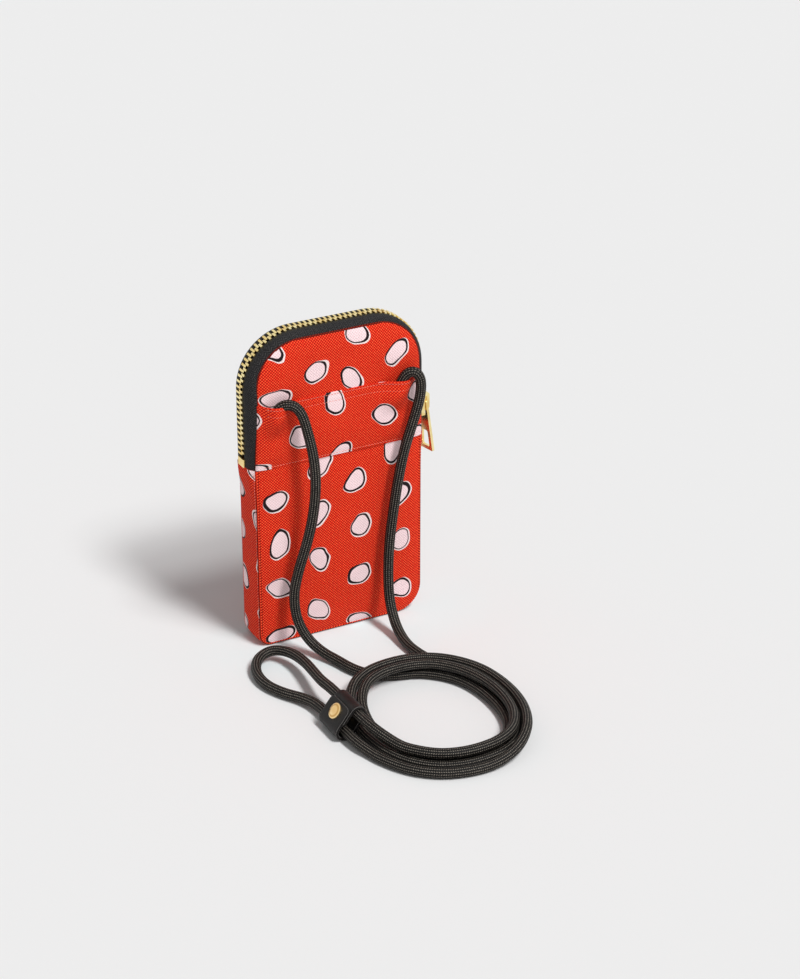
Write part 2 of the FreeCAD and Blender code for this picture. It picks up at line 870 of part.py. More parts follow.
def drop_route(exit_point, points, strand, angle):
    start = coil_point(strand, angle)
    lead_in = lead(start, coil_heading(strand, angle), -lead_run)
    return [hung(p) for p in [exit_point] + points] + [lead_in, (start.x, start.y, start.z)]


def loop_route():
    right_out = coil_point(right_strand, coil_right_angles[1])
    left_out = coil_point(left_strand, coil_left_angles[1])
    right_lead = lead(right_out, coil_heading(right_strand, coil_right_angles[1]), loop_lead_run)
    left_lead = lead(left_out, coil_heading(left_strand, coil_left_angles[1]), loop_lead_run)
    return (
        [(right_out.x, right_out.y, right_out.z), right_lead]
        + [strand_in_keeper(False, keeper_run_start), strand_in_keeper(False, keeper_run_end)]
        + end_loop
        + [strand_in_keeper(True, keeper_run_end), strand_in_keeper(True, keeper_run_start)]
        + [left_lead, (left_out.x, left_out.y, left_out.z)]
    )


def build_body():
    save("back_panel", make_back_panel())
    save("back_padding", make_back_padding())
    save("back_lining", layer(inner_inset, -padding_y, -lining_y))
    front = make_front_panel()
    save("front_panel", below_fold(front))
    save("front_flap", above_fold(front))
    front_padding = make_front_padding()
    save("front_padding", below_fold(front_padding))
    save("flap_padding", above_fold(front_padding))
    front_lining = layer(inner_inset, lining_y, padding_y)
    save("front_lining", below_fold(front_lining))
    save("flap_lining", above_fold(front_lining))
    save("gusset", make_gusset())
    save("gusset_lining", make_gusset_lining())
    save("cord_band", make_band())


def build_zip():
    back_tape = arch(tape_section(-1), zip_end)
    front_tape = arch(tape_section(1), zip_end)
    save("zip_tape_back", back_tape)
    save("zip_tape_front", below_fold(front_tape))
    save("zip_tape_flap", above_fold(front_tape))
    save("zip_bottom_stop", make_bottom_stop([back_tape, front_tape]))
    save("zip_top_stops", make_top_stops())
    back = tooth_row(-1, tooth_pitch / 4)
    front = tooth_row(1, 3 * tooth_pitch / 4)
    nodes = {
        "zip_teeth_back_right": back["right_low"] + back["right_high"],
        "zip_teeth_back": back["top"] + back["left_high"] + back["left_low"],
        "zip_teeth_front_right": front["right_low"],
        "zip_teeth_front_left": front["left_low"],
        "zip_teeth_flap_right": front["right_high"],
        "zip_teeth_flap_left": front["left_high"],
        "zip_teeth_flap_top": front["top"],
    }
    for name, teeth in nodes.items():
        save(name, Part.makeCompound(teeth))
    save("zip_slider", make_slider())
    save("slider_bail", make_bail())
    save("zip_pull", make_pull())


def build_cord():
    routes = {
        "cord_drop_left": rounded_route(
            drop_route(left_exit, left_drop, left_strand, coil_left_angles[0]), "cord_drop_left"
        ),
        "cord_drop_right": rounded_route(
            drop_route(right_exit, right_drop, right_strand, coil_right_angles[0]), "cord_drop_right"
        ),
        "cord_coil_left": coil_edges(left_strand, coil_left_angles),
        "cord_coil_right": coil_edges(right_strand, coil_right_angles),
        "cord_end_loop": rounded_route(loop_route(), "cord_end_loop"),
    }
    for name, edges in routes.items():
        save(name, tube(edges, name))
    report_gaps({"cord_coil_left": routes["cord_coil_left"], "cord_coil_right": routes["cord_coil_right"]})
    left, right = cord_exits()
    save("cord_end_left", cord_end(left))
    save("cord_end_right", cord_end(right))


def build_keeper():
    save("keeper_strap", set_keeper(make_keeper_strap()))
    save("keeper_rivet_cap", set_keeper(make_rivet_cap()))
    save("keeper_rivet_post", set_keeper(make_rivet_post()))


os.makedirs("parts", exist_ok=True)
build_body()
build_zip()
build_cord()
build_keeper()
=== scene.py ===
import math

import bmesh
import bpy
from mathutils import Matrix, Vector, noise


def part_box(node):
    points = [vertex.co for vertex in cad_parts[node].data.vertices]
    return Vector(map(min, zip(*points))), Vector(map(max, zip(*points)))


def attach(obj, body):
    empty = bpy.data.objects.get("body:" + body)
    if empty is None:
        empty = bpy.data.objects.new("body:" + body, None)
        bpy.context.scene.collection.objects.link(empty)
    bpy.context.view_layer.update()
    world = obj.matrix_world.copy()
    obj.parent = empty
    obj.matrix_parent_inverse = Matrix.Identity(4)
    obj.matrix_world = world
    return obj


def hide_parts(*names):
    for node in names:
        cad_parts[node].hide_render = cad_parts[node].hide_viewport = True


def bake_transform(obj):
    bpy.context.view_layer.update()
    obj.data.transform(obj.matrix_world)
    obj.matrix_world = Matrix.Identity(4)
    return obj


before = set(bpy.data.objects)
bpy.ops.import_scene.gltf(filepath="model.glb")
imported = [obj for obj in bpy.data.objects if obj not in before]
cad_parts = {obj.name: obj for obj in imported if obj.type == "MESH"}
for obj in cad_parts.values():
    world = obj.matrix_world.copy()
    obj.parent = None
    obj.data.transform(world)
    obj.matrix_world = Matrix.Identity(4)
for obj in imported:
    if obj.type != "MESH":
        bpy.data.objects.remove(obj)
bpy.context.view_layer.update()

mm = 0.001

# what every piece shares: the pouch's own sizes, in mm
pouch = {
    "width": 105.0, "height": 187.0, "halfDepth": 12.0,
    "topCorner": 30.0, "panelTopCorner": 27.5, "bottomLeftCorner": 7.0, "bottomRightCorner": 16.0,
    "zipEnd": 112.5, "zipBulge": 2.4, "foldHeight": 138.0, "foldReach": 7.0,
    "bandBottom": 112.9, "bandTop": 151.8, "liningY": 8.2, "liningInset": 1.6,
}


def smooth(low, high, value):
    share = min(max((value - low) / (high - low), 0.0), 1.0)
    return share * share * (3 - 2 * share)


def addObject(name, data):
    piece = bpy.data.objects.new(name, data)
    bpy.context.scene.collection.objects.link(piece)
    return piece


def newMesh(name, points, faces, uvs=None, materials=(), faceSlots=None):
    mesh = bpy.data.meshes.new(name)
    mesh.from_pydata([Vector(p) * mm for p in points], [], faces)
    if uvs:
        layer = mesh.uv_layers.new(name="cloth")
        for loop in mesh.loops:
            u, v = uvs[loop.vertex_index]
            layer.data[loop.index].uv = (u * mm, v * mm)
    for material in materials:
        mesh.materials.append(material)
    for polygon in mesh.polygons:
        polygon.use_smooth = True
        if faceSlots:
            polygon.material_index = faceSlots[polygon.index]
    mesh.update()
    return addObject(name, mesh)


def gridFaces(rows, columns, first=0, closed=False, flip=False):
    faces = []
    across = columns if closed else columns - 1
    for r in range(rows - 1):
        for c in range(across):
            a = first + r * columns + c
            b = first + r * columns + (c + 1) % columns
            quad = (a, b, b + columns, a + columns)
            faces.append(quad[::-1] if flip else quad)
    return faces


# turns a piece's faces to its outside, and for a tube first joins its long edges and closes its ends
def faceOutwards(piece, tube=False):
    mesh = bmesh.new()
    mesh.from_mesh(piece.data)
    if tube:
        bmesh.ops.remove_doubles(mesh, verts=mesh.verts, dist=1e-7)
        bmesh.ops.holes_fill(mesh, edges=[e for e in mesh.edges if e.is_boundary])
    bmesh.ops.recalc_face_normals(mesh, faces=mesh.faces)
    mesh.to_mesh(piece.data)
    mesh.free()


def addNode(tree, kind, **settings):
    node = tree.nodes.new(kind)
    for key, value in settings.items():
        setattr(node, key, value)
    return node


def feed(tree, socket, value):
    if isinstance(value, bpy.types.NodeSocket):
        tree.links.new(value, socket)
    else:
        socket.default_value = value


# a node with its inputs fed by name or number; gives one of its outputs
def wire(tree, kind, inputs, output=0, **settings):
    node = addNode(tree, kind, **settings)
    for label, value in inputs.items():
        feed(tree, node.inputs[label], value)
    return node.outputs[output]


def calc(tree, operation, *values):
    return wire(tree, "ShaderNodeMath", dict(enumerate(values)), operation=operation)


def vectorCalc(tree, operation, *values):
    output = 1 if operation in ("LENGTH", "DISTANCE") else 0
    return wire(tree, "ShaderNodeVectorMath", dict(enumerate(values)), output, operation=operation)


def ramp(tree, value, low, high):
    inputs = {"Value": value, "From Min": low, "From Max": high}
    return wire(tree, "ShaderNodeMapRange", inputs, interpolation_type="SMOOTHSTEP")


def mixColor(tree, share, first, second, blendType="MIX"):
    inputs = {0: share, 6: first, 7: second}
    return wire(tree, "ShaderNodeMix", inputs, 2, data_type="RGBA", blend_type=blendType)


def split(tree, vector):
    node = addNode(tree, "ShaderNodeSeparateXYZ")
    feed(tree, node.inputs[0], vector)
    return node.outputs[0], node.outputs[1]


def joined(tree, x, y):
    return wire(tree, "ShaderNodeCombineXYZ", {0: x, 1: y})


def turnedBy(tree, vector, angle):
    return wire(tree, "ShaderNodeVectorRotate", {"Vector": vector, "Angle": angle}, rotation_type="Z_AXIS")


def cloudy(tree, vector, scale, detail, dimensions="3D"):
    inputs = {"Vector": vector, "Scale": scale, "Detail": detail}
    return wire(tree, "ShaderNodeTexNoise", inputs, noise_dimensions=dimensions)


# from -0.5 to 0.5 across each whole step of a value
def acrossStep(tree, value):
    return calc(tree, "SUBTRACT", calc(tree, "FRACT", value), 0.5)


# 0.5 for an odd number, 0 for an even one
def oddHalf(tree, number):
    return calc(tree, "FRACT", calc(tree, "MULTIPLY", number, 0.5))


def cosineOf(tree, halfTurns):
    return calc(tree, "COSINE", calc(tree, "MULTIPLY", halfTurns, math.pi))


def newGroup(name, inputs, outputs):
    group = bpy.data.node_groups.new(name, "ShaderNodeTree")
    group.interface.new_socket("Vector", in_out="INPUT", socket_type="NodeSocketVector")
    for label, default in inputs.items():
        socket = group.interface.new_socket(label, in_out="INPUT", socket_type="NodeSocketFloat")
        socket.default_value = default
    for label in outputs:
        group.interface.new_socket(label, in_out="OUTPUT", socket_type="NodeSocketFloat")
    return group, addNode(group, "NodeGroupInput").outputs, addNode(group, "NodeGroupOutput").inputs


def placeGroup(tree, group, **values):
    node = addNode(tree, "ShaderNodeGroup", node_tree=group)
    for label, value in values.items():
        feed(tree, node.inputs[label], value)
    return node.outputs


def srgb(red, green, blue):
    def linear(c):
        c /= 255
        return c / 12.92 if c <= 0.04045 else ((c + 0.055) / 1.055) ** 2.4
    return (linear(red), linear(green), linear(blue), 1.0)


weaveShape = {"roundness": 0.7, "dive": 0.35}  # of a thread's back, and how deep its ends go under


# over-and-under threads: each cell of the weave shows its warp or its weft on top
def makeThreadWeave():
    group, given, out = newGroup("threadWeave", {"Pitch": 1 * mm, "Slant": 0.0}, ["Height"])
    arcs, cells = [], []
    for way in split(group, turnedBy(group, given["Vector"], given["Slant"])):
        threads = calc(group, "DIVIDE", way, given["Pitch"])
        arc = cosineOf(group, acrossStep(group, threads))
        arcs.append(calc(group, "POWER", arc, weaveShape["roundness"]))
        cells.append(calc(group, "FLOOR", threads))
    raised = []
    for back, length in (arcs, arcs[::-1]):
        bend = calc(group, "MULTIPLY_ADD", length, weaveShape["dive"], 1 - weaveShape["dive"])
        raised.append(calc(group, "MULTIPLY", back, bend))
    isWarp = calc(group, "GREATER_THAN", oddHalf(group, calc(group, "ADD", *cells)), 0.25)
    picked = wire(group, "ShaderNodeMix", {0: isWarp, 2: raised[1], 3: raised[0]}, data_type="FLOAT")
    group.links.new(picked, out["Height"])
    return group


# soft uneven tone from use: a broad mottle and a fine one
def makeUseMarks():
    group, given, out = newGroup("useMarks", {"Broad": 30.0, "Fine": 400.0}, ["Tone", "Speck"])
    for label, detail, result in (("Broad", 3.0, "Tone"), ("Fine", 2.0, "Speck")):
        group.links.new(cloudy(group, given["Vector"], given[label], detail), out[result])
    return group


threadWeave = makeThreadWeave()
useMarks = makeUseMarks()
print("shared effects ready")


def newMaterial(name, sockets):
    material = bpy.data.materials.new(name)
    material.use_nodes = True
    shader = material.node_tree.nodes["Principled BSDF"]
    for label, value in sockets.items():
        shader.inputs[label].default_value = value
    return material, material.node_tree, shader


def clothCoordinates(tree):
    return addNode(tree, "ShaderNodeUVMap", uv_map="cloth").outputs[0]


def placeCoordinates(tree):
    return addNode(tree, "ShaderNodeTexCoord").outputs["Object"]


# a material whose pattern gives its colour and the height that its bump follows; in every look, sockets
# are plain values, marks the scales of the use marks, rough the mark that roughness follows with its
# spread and its least, tones the range over which a colour comes in, and bump a strength and a depth
def makeMaterial(name, look, pattern, coordinates=placeCoordinates):
    material, tree, shader = newMaterial(name, look["sockets"])
    marks = placeGroup(tree, useMarks, Vector=coordinates(tree), **look["marks"])
    colour, height = pattern(tree, look, marks)
    feed(tree, shader.inputs["Base Color"], colour)
    if "rough" in look:
        mark, spread, least = look["rough"]
        feed(tree, shader.inputs["Roughness"], calc(tree, "MULTIPLY_ADD", marks[mark], spread, least))
    strength, distance = look["bump"]
    normal = wire(tree, "ShaderNodeBump", {"Strength": strength, "Distance": distance, "Height": height})
    feed(tree, shader.inputs["Normal"], normal)
    return material


# the weave's dark red is painted shade in its gaps, and its light red a painted highlight on its thread tops
canvasLook = {
    "red": srgb(234, 34, 13), "redTopHighlight": srgb(255, 110, 64), "redGapShade": srgb(132, 8, 3),
    "pink": srgb(250, 221, 224), "ink": srgb(30, 20, 22), "halo": srgb(252, 234, 232),
    "redTones": (0.1, 0.7), "highlightTones": (0.7, 1.0), "inkTones": (0.35, 0.65),
    "weave": {"Pitch": 1.2 * mm, "Slant": math.radians(45)}, "threadDrop": 0.25, "fuzz": 0.4,
    "shade": 0.82, "mottle": 0.26, "threadShade": 0.3, "paintedShadeScale": 1.0, "printed": False,
    "columnWidth": 26.0 * mm, "rowHeight": 30.0 * mm, "pebbleLong": 7.6 * mm, "pebbleShort": 5.5 * mm,
    "tiltRange": 2.8, "shift": 6.0 * mm, "wobble": 4.4 * mm, "wobbleScale": 95.0, "wobbleDetail": 0.5,
    "inkWidth": 0.34 * mm, "inkSwell": 0.36 * mm, "inkInset": 0.2 * mm, "misprint": (0.4 * mm, -0.3 * mm, 0.0),
    "haloWidth": 0.72 * mm, "softness": 0.12 * mm, "fillSoftness": 0.1 * mm,
    "marks": {"Broad": 28.0, "Fine": 900.0}, "rough": ("Tone", 0.18, 0.68), "bump": (0.7, 0.3 * mm),
    "sockets": {"Roughness": 0.8, "Specular IOR Level": 0.14},
}
printedLook = {**canvasLook, "printed": True}
seamShadowLook = {**canvasLook, "paintedShadeScale": 0.2}  # painted seam shadow: the cloth darkened where shade falls in the seams


# which of a row of equal cells a value lies in, and how far it is from that cell's middle
def cellOf(tree, value, size):
    number = calc(tree, "FLOOR", calc(tree, "DIVIDE", value, size))
    middle = calc(tree, "MULTIPLY", calc(tree, "ADD", number, 0.5), size)
    return number, calc(tree, "SUBTRACT", value, middle)


# a start moved by up to half a span either way, by a chance from 0 to 1
def eitherWay(tree, chance, span, start):
    return calc(tree, "MULTIPLY_ADD", calc(tree, "SUBTRACT", chance, 0.5), span, start)


# distance in metres from the edge of the pebble whose lattice cell a point lies in, less than 0 inside
def pebbleDistance(tree, look, place):
    x, y = split(tree, place)
    column, localX = cellOf(tree, x, look["columnWidth"])
    dropped = calc(tree, "MULTIPLY_ADD", oddHalf(tree, column), look["rowHeight"], y)
    row, localY = cellOf(tree, dropped, look["rowHeight"])
    seed = {"Vector": joined(tree, column, row)}
    chances = addNode(tree, "ShaderNodeSeparateColor")
    feed(tree, chances.inputs[0], wire(tree, "ShaderNodeTexWhiteNoise", seed, "Color", noise_dimensions="3D"))
    forTilt, forX, forY = chances.outputs[:3]
    localX = eitherWay(tree, forX, look["shift"], localX)
    localY = eitherWay(tree, forY, look["shift"], localY)
    tilt = eitherWay(tree, forTilt, look["tiltRange"], 0.0)
    along, across = split(tree, turnedBy(tree, joined(tree, localX, localY), tilt))
    far = calc(tree, "DIVIDE", along, look["pebbleLong"])
    wide = calc(tree, "DIVIDE", across, look["pebbleShort"])
    reach = vectorCalc(tree, "LENGTH", joined(tree, far, wide))
    distance = calc(tree, "MULTIPLY", calc(tree, "SUBTRACT", reach, 1.0), look["pebbleShort"])
    uneven = cloudy(tree, place, look["wobbleScale"], look["wobbleDetail"], "2D")
    return eitherWay(tree, uneven, look["wobble"], distance)


def below(tree, value, limit, softness):
    return calc(tree, "SUBTRACT", 1.0, ramp(tree, value, limit - softness, limit + softness))


# pale fill, then a thin pale edge, then an uneven ink line printed a little off its place
def addPrint(tree, look, place, ground, tone):
    distance = pebbleDistance(tree, look, place)
    lineDistance = pebbleDistance(tree, look, vectorCalc(tree, "ADD", place, look["misprint"]))
    fromLine = calc(tree, "ABSOLUTE", calc(tree, "ADD", lineDistance, look["inkInset"]))
    swelling = ramp(tree, tone, *look["inkTones"])
    inkHalf = calc(tree, "MULTIPLY_ADD", swelling, look["inkSwell"], look["inkWidth"])
    colour = mixColor(tree, below(tree, distance, look["haloWidth"], look["softness"]), ground, look["halo"])
    colour = mixColor(tree, below(tree, distance, 0.0, look["fillSoftness"]), colour, look["pink"])
    inkMask = below(tree, calc(tree, "SUBTRACT", fromLine, inkHalf), 0.0, look["softness"])
    return mixColor(tree, inkMask, colour, look["ink"])


# the printed cloth, or the same cloth with no print for the turned-in edges; the thread tops are painted lighter
# and the gaps between them darker, as painted highlight and painted shade, with random flecks
def canvasPattern(tree, look, marks):
    place, paintedShadeScale = clothCoordinates(tree), look["paintedShadeScale"]
    weave = placeGroup(tree, threadWeave, Vector=place, **look["weave"])["Height"]
    tone = calc(tree, "SUBTRACT", weave, look["threadDrop"])
    tone = calc(tree, "MULTIPLY_ADD", marks["Speck"], look["fuzz"], tone)
    colour = mixColor(tree, ramp(tree, tone, *look["redTones"]), look["redGapShade"], look["red"])
    colour = mixColor(tree, ramp(tree, tone, *look["highlightTones"]), colour, look["redTopHighlight"])
    if look["printed"]:
        colour = addPrint(tree, look, place, colour, marks["Tone"])
    # a painted shade scale below 1 darkens the whole cloth, as painted shadow in the seams
    least = (look["shade"] - look["mottle"] / 2) * paintedShadeScale
    mottled = calc(tree, "MULTIPLY_ADD", marks["Tone"], look["mottle"] * paintedShadeScale, least)
    shade = calc(tree, "MULTIPLY_ADD", weave, look["threadShade"] * paintedShadeScale, mottled)
    grey = wire(tree, "ShaderNodeCombineColor", {0: shade, 1: shade, 2: shade})
    return mixColor(tree, 1.0, colour, grey, "MULTIPLY"), weave


tapeLook = {
    "black": srgb(8, 8, 9), "wearAndSheen": srgb(78, 76, 76), "wearAndSheenTones": (0.15, 0.85),
    "pitch": 1.1 * mm, "rib": 2.2 * mm, "fuzz": (0.9, 0.1),
    "marks": {"Broad": 60.0, "Fine": 1200.0}, "rough": ("Tone", 0.2, 0.6), "bump": (0.7, 0.2 * mm),
    "sockets": {"Roughness": 0.7, "Specular IOR Level": 0.2},
}


# woven tape: slanted ribs that turn back at each column; their crests carry a painted highlight and the grooves
# painted shade
def tapePattern(tree, look, marks):
    x, y = split(tree, clothCoordinates(tree))
    slanted = calc(tree, "ADD", x, calc(tree, "PINGPONG", y, look["rib"]))
    wave = calc(tree, "SINE", calc(tree, "MULTIPLY", slanted, 2 * math.pi / look["pitch"]))
    height = calc(tree, "MULTIPLY_ADD", wave, 0.5, 0.5)
    tone = calc(tree, "MULTIPLY", height, calc(tree, "MULTIPLY_ADD", marks["Speck"], *look["fuzz"]))
    return mixColor(tree, ramp(tree, tone, *look["wearAndSheenTones"]), look["black"], look["wearAndSheen"]), height


liningLook = {
    "dark": srgb(44, 42, 44), "light": srgb(74, 70, 72),
    "weave": {"Pitch": 0.5 * mm, "Slant": 0.0}, "weaveShare": 0.6,
    "marks": {"Broad": 24.0, "Fine": 700.0}, "bump": (0.4, 0.12 * mm),
    "sockets": {"Roughness": 0.6, "Sheen Weight": 0.15},
}


# thread tops painted lighter than the gaps between them, as painted highlight and painted shade, with a random tone
def liningPattern(tree, look, marks):
    weave = placeGroup(tree, threadWeave, Vector=clothCoordinates(tree), **look["weave"])["Height"]
    wearAndSheen = calc(tree, "MULTIPLY", marks["Tone"], 1 - look["weaveShare"])
    tone = calc(tree, "MULTIPLY_ADD", weave, look["weaveShare"], wearAndSheen)
    return mixColor(tree, tone, look["dark"], look["light"]), weave


threadLook = {
    "dark": srgb(226, 92, 70), "light": srgb(244, 156, 138), "tones": (0.35, 0.7),
    "marks": {"Broad": 160.0, "Fine": 2500.0}, "bump": (0.4, 0.1 * mm),
    "sockets": {"Roughness": 0.55, "Sheen Weight": 0.2},
}
edgeHighlightLook = {
    "dark": srgb(112, 109, 106), "light": srgb(150, 147, 144), "tones": (0.3, 0.7),
    "marks": {"Broad": 300.0, "Fine": 2600.0}, "bump": (0.5, 0.12 * mm), "sockets": {"Roughness": 0.8},
}


# a colour flecked with a lighter one: sewing thread, or the pale painted highlight along the leather's bevelled
# edges
def fleckedPattern(tree, look, marks):
    share = ramp(tree, marks["Speck"], *look["tones"])
    return mixColor(tree, share, look["dark"], look["light"]), marks["Speck"]


braidLook = {
    "dark": srgb(6, 5, 5), "mid": srgb(26, 23, 21), "paintedGlint": srgb(138, 131, 121),
    "midTones": (0.2, 0.75), "paintedGlintTones": (0.72, 1.0), "fuzz": (0.6, 0.7),
    "columns": 12, "stitch": 1.2 * mm, "lean": 1.0, "yarnDepth": 0.62,
    "marks": {"Broad": 40.0, "Fine": 1500.0}, "rough": ("Tone", 0.2, 0.4), "bump": (0.8, 0.3 * mm),
    "sockets": {"Roughness": 0.5, "Specular IOR Level": 0.16},
}


# a tubular braid: columns of short slanted yarns that lean the other way in each next column; the grooves are
# painted dark as shade and the yarns' crowns carry a painted glint
def braidPattern(tree, look, marks):
    around, along = split(tree, clothCoordinates(tree))
    column = calc(tree, "MULTIPLY", around, look["columns"] / mm)
    inside = acrossStep(tree, column)
    odd = oddHalf(tree, calc(tree, "FLOOR", column))
    lean = calc(tree, "MULTIPLY_ADD", odd, 4 * look["lean"], -look["lean"])
    phase = calc(tree, "ADD", calc(tree, "DIVIDE", along, look["stitch"]), calc(tree, "MULTIPLY", inside, lean))
    yarn = calc(tree, "ABSOLUTE", cosineOf(tree, phase))
    yarn = calc(tree, "MULTIPLY_ADD", yarn, look["yarnDepth"], 1 - look["yarnDepth"])
    height = calc(tree, "MULTIPLY", cosineOf(tree, inside), yarn)
    tone = calc(tree, "MULTIPLY", height, calc(tree, "MULTIPLY_ADD", marks["Speck"], *look["fuzz"]))
    colour = mixColor(tree, ramp(tree, tone, *look["midTones"]), look["dark"], look["mid"])
    return mixColor(tree, ramp(tree, tone, *look["paintedGlintTones"]), colour, look["paintedGlint"]), height


capLow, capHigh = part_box("keeper_rivet_cap")
brassLook = {
    "light": srgb(255, 240, 180), "deep": srgb(238, 206, 128), "tones": (0.3, 0.7),
    "marks": {"Broad": 120.0, "Fine": 2400.0}, "rough": ("Tone", 0.14, 0.16), "bump": (0.05, 0.05 * mm),
    "sockets": {"Metallic": 1.0, "Roughness": 0.2},
}
rivetLook = {
    **brassLook, "light": srgb(255, 228, 172), "deep": srgb(240, 198, 132),
    # the ring colour is painted shade round the rivet cap's rim
    "ring": srgb(206, 162, 94), "ringReach": (2.6 * mm, 3.5 * mm, 4.2 * mm),
    "ringMiddle": [(a + b) / 2 for a, b in zip(capLow, capHigh)],
    "rough": ("Tone", 0.14, 0.22), "sockets": {"Metallic": 1.0, "Roughness": 0.26},
}


# plain brass, or with a ring of painted shade round a middle point
def brassPattern(tree, look, marks):
    colour = mixColor(tree, ramp(tree, marks["Tone"], *look["tones"]), look["light"], look["deep"])
    if "ring" in look:
        away = vectorCalc(tree, "DISTANCE", placeCoordinates(tree), look["ringMiddle"])
        inside, widest, outside = look["ringReach"]
        ring = calc(tree, "SUBTRACT", ramp(tree, away, inside, widest), ramp(tree, away, widest, outside))
        colour = mixColor(tree, ring, colour, look["ring"])
    return colour, marks["Tone"]


leatherLook = {
    "black": srgb(22, 20, 19), "wearAndSheen": srgb(36, 33, 31), "wearAndSheenTones": (0.45, 0.8),
    "poreScale": 1300.0, "poreEdge": (0.0, 0.25),
    "marks": {"Broad": 90.0, "Fine": 1100.0}, "rough": ("Speck", 0.2, 0.36), "bump": (0.3, 0.1 * mm),
    "sockets": {"Roughness": 0.46, "Specular IOR Level": 0.22},
}


# the leather's lighter tone comes in at random, as wear
def leatherPattern(tree, look, marks):
    inputs = {"Vector": placeCoordinates(tree), "Scale": look["poreScale"]}
    fromEdge = wire(tree, "ShaderNodeTexVoronoi", inputs, "Distance", feature="DISTANCE_TO_EDGE")
    share = ramp(tree, marks["Tone"], *look["wearAndSheenTones"])
    return mixColor(tree, share, look["black"], look["wearAndSheen"]), ramp(tree, fromEdge, *look["poreEdge"])


canvas = makeMaterial("printedCanvas", printedLook, canvasPattern, clothCoordinates)
seamCloth = makeMaterial("seamCloth", canvasLook, canvasPattern, clothCoordinates)
seamShadowCloth = makeMaterial("seamShadowCloth", seamShadowLook, canvasPattern, clothCoordinates)
tapeCloth = makeMaterial("zipTape", tapeLook, tapePattern, clothCoordinates)
lining = makeMaterial("pocketLining", liningLook, liningPattern, clothCoordinates)
thread = makeMaterial("sewingThread", threadLook, fleckedPattern)
braid = makeMaterial("braidedCord", braidLook, braidPattern)
brass = makeMaterial("polishedBrass", brassLook, brassPattern)
rivetGold = makeMaterial("rivetGold", rivetLook, brassPattern)
leather = makeMaterial("blackLeather", leatherLook, leatherPattern)
edgeHighlight = makeMaterial("paintedEdgeHighlight", edgeHighlightLook, fleckedPattern)
print("materials ready")


# in mm and degrees; angles fall along a strand from where it meets the coil
cord = {
    "diameter": 6.0, "ringStep": 1.5, "around": 24, "relief": 0.07, "stepAngle": 18.0, "splineSteps": 24,
    "middle": (-2.4, -128.5), "half": (37.0, 46.4), "squareness": 0.03, "gap": 0.55, "extraLift": 0.25,
    "leftAngles": (70.0, -500.0), "rightAngles": (38.0, -515.0),
    "leftEntry": (1.8, 52.0), "rightEntry": (2.45, 15.0), "climb": (-185.0, -240.0),
    "leftRoll": (-320.0, -362.0), "rightFirstRoll": (-312.0, -347.0), "rightLastRoll": (-395.0, -450.0),
    "perch": 60.0, "leadRun": 12.0, "loopLeadRun": 9.0,
    "keeperTilt": 52.0, "keeperSpread": 11.6, "keeperX": -54.3, "keeperOuter": 4.9,
    "keeperRun": (-135.0, -94.0), "outgrow": 0.45,
}
leftDrop = [
    (-41.5, -14.4, 141.2), (-41.2, -14.9, 148.2), (-37.2, -16.8, 152.4), (-31.6, -19.5, 151.9),
    (-28.0, -21.7, 146.6), (-26.2, -24.6, 136.2), (-24.4, -27.6, 123.2), (-23.8, -29.1, 107.0),
    (-25.6, -29.1, 88.0), (-29.2, -27.1, 68.9), (-33.9, -24.6, 51.4), (-36.7, -23.3, 35.4),
    (-35.5, -25.0, 20.0), (-31.5, -30.5, 9.5), (-26.8, -39.5, 4.2), (-22.0, -51.0, 3.0),
    (-19.8, -60.6, 3.0), (-16.0, -69.2, 3.0), (-9.8, -76.0, 3.0),
]
rightDrop = [
    (34.6, -14.4, 143.0), (37.4, -14.9, 150.4), (40.6, -16.9, 156.3), (44.8, -19.6, 156.6),
    (47.0, -21.2, 151.4), (46.0, -21.6, 141.5), (41.8, -21.8, 128.5), (35.8, -22.0, 112.5),
    (31.4, -22.2, 93.0), (28.3, -22.3, 74.0), (25.6, -22.3, 54.0), (24.4, -23.0, 36.0),
    (23.4, -26.0, 21.0), (23.0, -32.0, 10.5), (22.2, -40.5, 5.0), (21.2, -52.0, 3.0),
    (22.0, -63.5, 3.0), (24.4, -74.5, 3.0),
]
endLoop = [
    (-57.4, -80.5, 3.8), (-65.4, -68.0, 3.0), (-70.6, -53.5, 3.0), (-69.0, -38.5, 3.4), (-61.8, -28.0, 4.6),
    (-52.0, -26.8, 6.4), (-45.8, -36.5, 8.0), (-44.2, -51.0, 9.4), (-45.8, -67.0, 11.0), (-47.8, -81.0, 12.8),
]


def between(angle, angles, first, last):
    return first + (last - first) * smooth(angles[0], angles[1], angle)


# how far outside the coil's line a strand lies, and how high: it climbs onto the other and rolls off it
def laneAndHeight(strand, angle):
    pitch = cord["diameter"] + cord["gap"]
    lift = pitch + cord["extraLift"]
    floorHeight = cord["diameter"] / 2
    entry, entryEnd = cord[strand + "Entry"]
    start = cord[strand + "Angles"][0]
    base = 0.0 if strand == "left" else pitch
    lane = base + between(angle, (start, entryEnd), entry, 0.0)
    height = floorHeight + between(angle, cord["climb"], 0.0, lift)
    rolls = cord["leftRoll"] if strand == "left" else cord["rightFirstRoll"]
    if angle < rolls[0]:
        lean = between(angle, rolls, 90.0, cord["perch"])
        if strand == "right":
            lean = between(angle, cord["rightLastRoll"], lean, 0.0)
        lane = base + pitch * math.cos(math.radians(lean))
        height = floorHeight + lift * math.sin(math.radians(lean))
    return lane, height


def coilPoint(strand, angle, outgrow=0.0):
    lane, height = laneAndHeight(strand, angle)
    turned = math.radians(angle)
    swell = 1 - cord["squareness"] * math.cos(4 * turned)
    x = cord["middle"][0] + (cord["half"][0] * swell + lane + outgrow) * math.cos(turned)
    y = cord["middle"][1] + (cord["half"][1] * swell + lane + outgrow) * math.sin(turned)
    return Vector((x, y, height))


